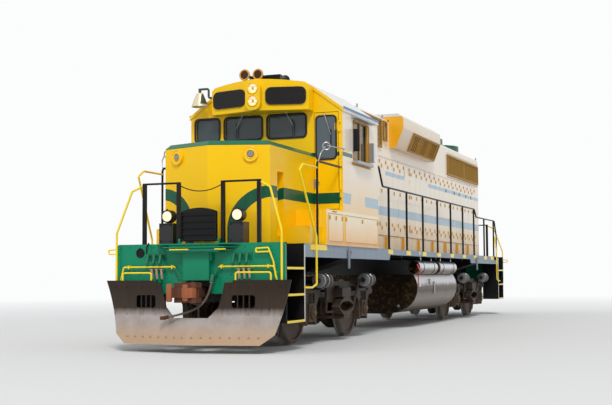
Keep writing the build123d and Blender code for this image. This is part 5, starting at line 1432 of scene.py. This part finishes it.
    def _knuckle_pins(self) -> None:
        """Pin heads and guard arms on the couplers, and the noses of the knuckles."""
        pin_x, pin_y = self.knuckle_pin
        level = self.coupler_height
        for end, name in zip(ENDS, ("front", "rear")):
            low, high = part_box(f"coupler_{name}")
            pins = [Bench.rod(0.036, 0.022, (end * pin_x, end * pin_y, z), Axis.Z, 6, 0.005) for z in (low.z, high.z)]
            Bench.fit(pins, f"knuckle_pins_{name}", rust, f"coupler_{name}")
            guard = Bench.block((0.05, 0.092, 0.27), (end * 8.975, end * -0.21, level), 0.02, segments=2)
            Bench.fit(guard, f"guard_arm_{name}", knuckle_rust, f"coupler_{name}")
            nose_piece = Bench.block((0.055, 0.088, 0.25), (end * 8.98, end * 0.06, level), 0.02, segments=2)
            Bench.fit(nose_piece, f"knuckle_nose_{name}", knuckle_rust, f"knuckle_{name}")


@dataclass
class SillDress:
    """Yellow tabs on the sill, step nosings, white well edges, post feet and vents."""

    first_tab: float = 3.0
    first_foot: float = 3.03
    tab_height: float = 1.592
    tread_heights: tuple[float, ...] = (0.455, 0.857, 1.258)

    def build(self) -> None:
        """Makes the sill's trim."""
        pattern = Bench.block((0.30, 0.01, 0.088), ORIGIN, 0.003)
        places = both((self.first_tab - POST_PITCH * n, SIDE + 0.002, self.tab_height) for n in range(9))
        Bench.fit(Bench.repeat(pattern, places), "sill_tabs", rail_yellow)
        tabs = [Bench.block((0.74, 0.01, 0.088), (x, side * (SIDE + 0.002), self.tab_height), 0.003)
                for x in (7.0, -7.0) for side in SIDES]
        Bench.fit(tabs, "sill_end_tabs", rail_yellow)
        nosings, edges, feet = [], [], []
        for end in ENDS:
            for side in SIDES:
                for z in self.tread_heights:
                    nosings.append(Bench.block((0.70, 0.014, 0.036), (end * 8.01, side * (SIDE + 0.004), z), 0.004))
                edges.append(Bench.block((0.02, 0.014, 1.18), (end * 7.648, side * (SIDE + 0.004), 1.03), 0.004))
        Bench.fit(nosings, "step_nosings", rail_yellow)
        Bench.fit(edges, "well_edges", white_edge)
        for side in SIDES:
            for n in range(9):
                place = (self.first_foot - POST_PITCH * n, side * 1.408, DECK + 0.006)
                feet.append(Bench.block((0.09, 0.05, 0.012), place, 0.003))
        Bench.fit(feet, "post_feet", rail_black)
        vents = []
        for x in (5.55, -4.75):
            for side in SIDES:
                y = side * (SIDE + 0.03)
                vents.append(Bench.ring(0.05, 0.022, (x, y, 1.53), LEFTWARD, 20, 10))
                vents.append(Bench.link((x + 0.05, y, 1.53), (x + 0.05, y, 1.26), 0.024, 12))
        Bench.fit(vents, "sill_vents", sill_grey)


@dataclass
class TankDress:
    """Bands, filler, gauge and the emergency gear round the fuel tank."""

    reservoir: tuple[float, float] = (1.235, 1.31)

    def build(self) -> None:
        """Makes the tank's fittings."""
        low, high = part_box("air_reservoirs")
        reservoir_y, reservoir_z = self.reservoir
        bands = []
        for side in SIDES:
            for x in (low.x + 0.35, (low.x + high.x) / 2, high.x - 0.35):
                bands.append(Bench.ring(0.152, 0.007, (x, side * reservoir_y, reservoir_z), FORWARD, 36, 6))
        Bench.fit(bands, "reservoir_bands", tube_silver)
        caps = []
        for side in SIDES:
            caps.append(Bench.rod(0.055, 0.10, (-0.35, side * 1.30, 1.0), Axis.Y, 20, 0.01))
            caps.append(Bench.block((0.05, 0.03, 0.28), (-0.72, side * 1.333, 0.86), 0.006))
            caps.append(Bench.rod(0.03, 0.05, (0.703, side * 0.9, 0.48), Axis.X, 12, 0.006))
        Bench.fit(caps, "tank_fittings", bare_steel)
        tags = [Bench.block((0.05, 0.02, 0.16), (0.78, side * 1.38, 1.30), 0.006, (0.3 * side, 0.35, 0.0))
                for side in SIDES]
        lines = [Bench.link((0.72, side * 1.36, 1.22), (0.69, side * 1.345, 0.93), 0.012) for side in SIDES]
        Bench.fit(tags + lines, "emergency_pulls", signal_red)
        plates = [Bench.block((0.10, 0.012, 0.07), (0.86, side * (SIDE + 0.003), 1.60), 0.004) for side in SIDES]
        plates += [Bench.block((0.06, 0.02, 0.09), (0.60, side * 1.36, 0.93), 0.006) for side in SIDES]
        Bench.fit(plates, "white_plates", white_edge)


@dataclass
class RunningGear:
    """Cylinder ends, cover bolts, sand pipes and levers that swivel with the bogies."""

    wheelbase: float = 2.743
    bogie_x: float = 5.1815
    axle_height: float = 0.533
    cylinder: Triple = (1.18, 1.255, 1.06)
    bolt_circle: float = 0.086

    def build(self) -> None:
        """Makes the dressing of both bogies."""
        for name, middle in (("front", self.bogie_x), ("rear", -self.bogie_x)):
            self._cylinders(name, middle)
            self._covers(name, middle)
            self._levers(name, middle)

    def _cylinders(self, name: str, middle: float) -> None:
        """Bright ends, rods and bands of the brake cylinders."""
        bright, dark = [], []
        along, across, z = self.cylinder
        for side in SIDES:
            for shift in (-along, along):
                x, y = middle + shift, side * across
                for end in (-1, 1):
                    bright.append(Bench.rod(0.124, 0.028, (x + end * 0.172, y, z), Axis.X, 24, 0.01))
                    dark.append(Bench.rod(0.045, 0.05, (x + end * 0.20, y, z), Axis.X, 14, 0.006))
                bright.append(Bench.ring(0.122, 0.009, (x, y, z), FORWARD, 28, 6))
        Bench.fit(bright, f"cylinder_ends_{name}", cylinder_steel, f"bogie_{name}")
        Bench.fit(dark, f"cylinder_hubs_{name}", bogie_black, f"bogie_{name}")

    def _covers(self, name: str, middle: float) -> None:
        """Bolts and hubs on the axle box covers."""
        places, hubs = [], []
        for side in SIDES:
            for shift in (-self.wheelbase / 2, self.wheelbase / 2):
                x = middle + shift
                hubs.append(Bench.rod(0.045, 0.02, (x, side * 1.186, self.axle_height), Axis.Y, 18, 0.005))
                for n in range(6):
                    angle = math.pi * n / 3
                    places.append((x + self.bolt_circle * math.cos(angle), side * 1.184,
                                   self.axle_height + self.bolt_circle * math.sin(angle)))
        bolts = Bench.repeat(Bench.rod(0.014, 0.018, ORIGIN, Axis.Y, 6, 0.004), places)
        Bench.fit([bolts] + hubs, f"cover_bolts_{name}", oily_brass, f"bogie_{name}")

    def _levers(self, name: str, middle: float) -> None:
        """Brake levers, pull rods, lifting eyes and sand pipes."""
        levers, pipes = [], []
        for side in SIDES:
            for shift, lean in ((-0.86, 0.16), (0.86, -0.16)):
                x = middle + shift
                levers.append(Bench.link((x, side * 1.20, 1.02), (x + lean, side * 1.13, 0.52), 0.026, 8))
                levers.append(Bench.ring(0.045, 0.016, (x, side * 1.20, 1.02), LEFTWARD, 16, 8))
            levers.append(Bench.link((middle - 0.70, side * 1.135, 0.52), (middle + 0.70, side * 1.135, 0.52), 0.02, 8))
            for shift in (-1.66, 1.66):
                levers.append(Bench.block((0.14, 0.03, 0.14), (middle + shift, side * 1.13, 0.93), 0.012))
            for shift, foot in ((-1.98, -1.90), (1.98, 1.90)):
                pipes.append(Bench.link((middle + shift * 0.985, side * 0.90, 0.86),
                                        (middle + foot, side * 0.775, 0.16), 0.018, 10))
                pipes.append(Bench.link((middle + shift * 0.965, side * 1.0, 0.90),
                                        (middle + shift * 0.985, side * 0.895, 0.87), 0.018, 10))
            levers.append(Bench.block((0.24, 0.03, 0.05), (middle, side * 1.16, 0.94), 0.01))
        Bench.fit(levers, f"brake_levers_{name}", bogie_black, f"bogie_{name}")
        Bench.fit(pipes, f"sand_pipes_{name}", bogie_black, f"bogie_{name}")


@dataclass
class BrakeHose:
    """The brake hose that hangs from its pipe at the front."""

    diameter: float = 0.034
    length: float = 0.915
    route: tuple[Triple, ...] = (
        (8.570, 0.290, 1.060), (8.588, 0.284, 0.990), (8.604, 0.268, 0.915), (8.618, 0.240, 0.840),
        (8.630, 0.200, 0.768), (8.648, 0.145, 0.705), (8.680, 0.070, 0.655), (8.716, -0.020, 0.615),
        (8.750, -0.120, 0.582), (8.776, -0.225, 0.556), (8.790, -0.320, 0.538),
    )

    def build(self) -> Piece:
        """Makes the hose as one smooth curve.

        Returns:
            The curve.
        """
        data = bpy.data.curves.new("hose", "CURVE")
        data.dimensions = "3D"
        data.bevel_depth = self.diameter / 2
        data.bevel_resolution = 5
        data.resolution_u = 10
        data.use_fill_caps = True
        spline = data.splines.new("NURBS")
        spline.points.add(len(self.route) - 1)
        for point, place in zip(spline.points, self.route):
            point.co = (*place, 1.0)
        spline.order_u = 3
        spline.use_endpoint_u = True
        hose = bpy.data.objects.new("hose", data)
        bpy.context.scene.collection.objects.link(hose)
        data.materials.append(rubber.build())
        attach(hose, BODY)
        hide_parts("brake_hose")
        log.info("hose")
        return hose


@dataclass
class Studio:
    """Pale floor, soft light and the camera at the photograph's viewing angle."""

    eye: Triple = (23.315, 7.513, 1.147)
    yaw: float = 3.51008
    pitch: float = 0.067103
    roll: float = -0.006245
    lens: float = 63.83
    floor_size: float = 260.0
    sky: float = 0.5
    sun: float = 1.68
    fill: float = 0.35
    sun_turn: Triple = (44.0, 0.0, 118.0)
    fill_turn: Triple = (58.0, 0.0, 40.0)

    def build(self) -> None:
        """Makes the floor, the lights and the camera."""
        self._floor()
        self._world()
        self._lamp("key_light", self.sun, 14.0, self.sun_turn)
        self._lamp("fill_light", self.fill, 40.0, self.fill_turn)
        self._camera()
        log.info("studio")

    @staticmethod
    def _seen(wiring: Wiring, *rays: str) -> Socket:
        """Mask of 1 for the named kinds of ray."""
        path = wiring.add("ShaderNodeLightPath")
        mask = path.outputs[rays[0]]
        for ray in rays[1:]:
            mask = wiring.math("MAXIMUM", mask, path.outputs[ray])
        return mask

    def _floor(self) -> None:
        """A plain floor whose colour fades into the background."""
        bpy.ops.mesh.primitive_plane_add(size=self.floor_size, location=ORIGIN)
        floor = bpy.context.object
        floor.name = "floor"
        material = bpy.data.materials.new("floor")
        material.use_nodes = True
        wiring = Wiring(material.node_tree)
        shader = next(n for n in material.node_tree.nodes if n.type == "BSDF_PRINCIPLED")
        shader.inputs["Base Color"].default_value = (0.78, 0.78, 0.77, 1.0)
        shader.inputs["Roughness"].default_value = 0.9
        shader.inputs["Specular IOR Level"].default_value = 0.1
        position = wiring.add("ShaderNodeTexCoord").outputs["Object"]
        away = wiring.add("ShaderNodeVectorMath", position, operation="LENGTH").outputs["Value"]
        seen = self._seen(wiring, "Is Camera Ray", "Is Glossy Ray")
        fade = wiring.math("MULTIPLY", wiring.ramp(away, 9.0, 34.0), seen)
        pale = wiring.add("ShaderNodeEmission", PAPER, 1.0)
        blend = wiring.add("ShaderNodeMixShader", fade, shader.outputs[0], pale.outputs[0])
        output = next(n for n in material.node_tree.nodes if n.type == "OUTPUT_MATERIAL")
        wiring.fill(output.inputs[0], blend.outputs[0])
        floor.data.materials.append(material)

    def _world(self) -> None:
        """A pale surround that the camera sees as near white."""
        world = bpy.data.worlds.new("surround")
        bpy.context.scene.world = world
        world.use_nodes = True
        world.node_tree.nodes.clear()
        wiring = Wiring(world.node_tree)
        seen = self._seen(wiring, "Is Camera Ray", "Is Glossy Ray", "Is Transmission Ray")
        soft = wiring.add("ShaderNodeBackground", (0.93, 0.96, 1.0), self.sky)
        pale = wiring.add("ShaderNodeBackground", PAPER, 1.0)
        blend = wiring.add("ShaderNodeMixShader", seen, soft.outputs[0], pale.outputs[0])
        wiring.add("ShaderNodeOutputWorld", blend.outputs[0])

    def _lamp(self, name: str, power: float, spread: float, turn: Triple) -> None:
        """A wide sun lamp, its spread and turn in degrees."""
        data = bpy.data.lights.new(name, "SUN")
        data.energy = power
        data.angle = math.radians(spread)
        lamp = bpy.data.objects.new(name, data)
        lamp.rotation_euler = tuple(math.radians(angle) for angle in turn)
        bpy.context.scene.collection.objects.link(lamp)

    def _camera(self) -> None:
        """The camera, placed by its eye point, yaw, pitch and roll."""
        data = bpy.data.cameras.new("camera")
        data.sensor_width = 36.0
        data.lens = self.lens
        data.clip_end = 1000.0
        camera = bpy.data.objects.new("camera", data)
        bpy.context.scene.collection.objects.link(camera)
        ahead = Vector((math.cos(self.yaw) * math.cos(self.pitch), math.sin(self.yaw) * math.cos(self.pitch),
                        math.sin(self.pitch)))
        level = Vector((math.sin(self.yaw), -math.cos(self.yaw), 0.0))
        upright = level.cross(ahead)
        right = math.cos(self.roll) * level + math.sin(self.roll) * upright
        up = math.cos(self.roll) * upright - math.sin(self.roll) * level
        turn = Matrix((right, up, -ahead)).transposed().to_4x4()
        camera.matrix_world = Matrix.Translation(self.eye) @ turn
        bpy.context.scene.camera = camera
        bpy.context.scene.view_settings.view_transform = "Standard"


def main() -> None:
    """Builds the classes in order."""
    logging.basicConfig(level=logging.INFO, format="%(name)s: %(message)s")
    Studio().build()
    Paintshop().dress()
    for assembly in (CabTrim(), HoodHardware(), RoofDress(), EndDress(), SillDress(), TankDress(), RunningGear(),
                     BrakeHose()):
        assembly.build()


if __name__ == "__main__":
    main()
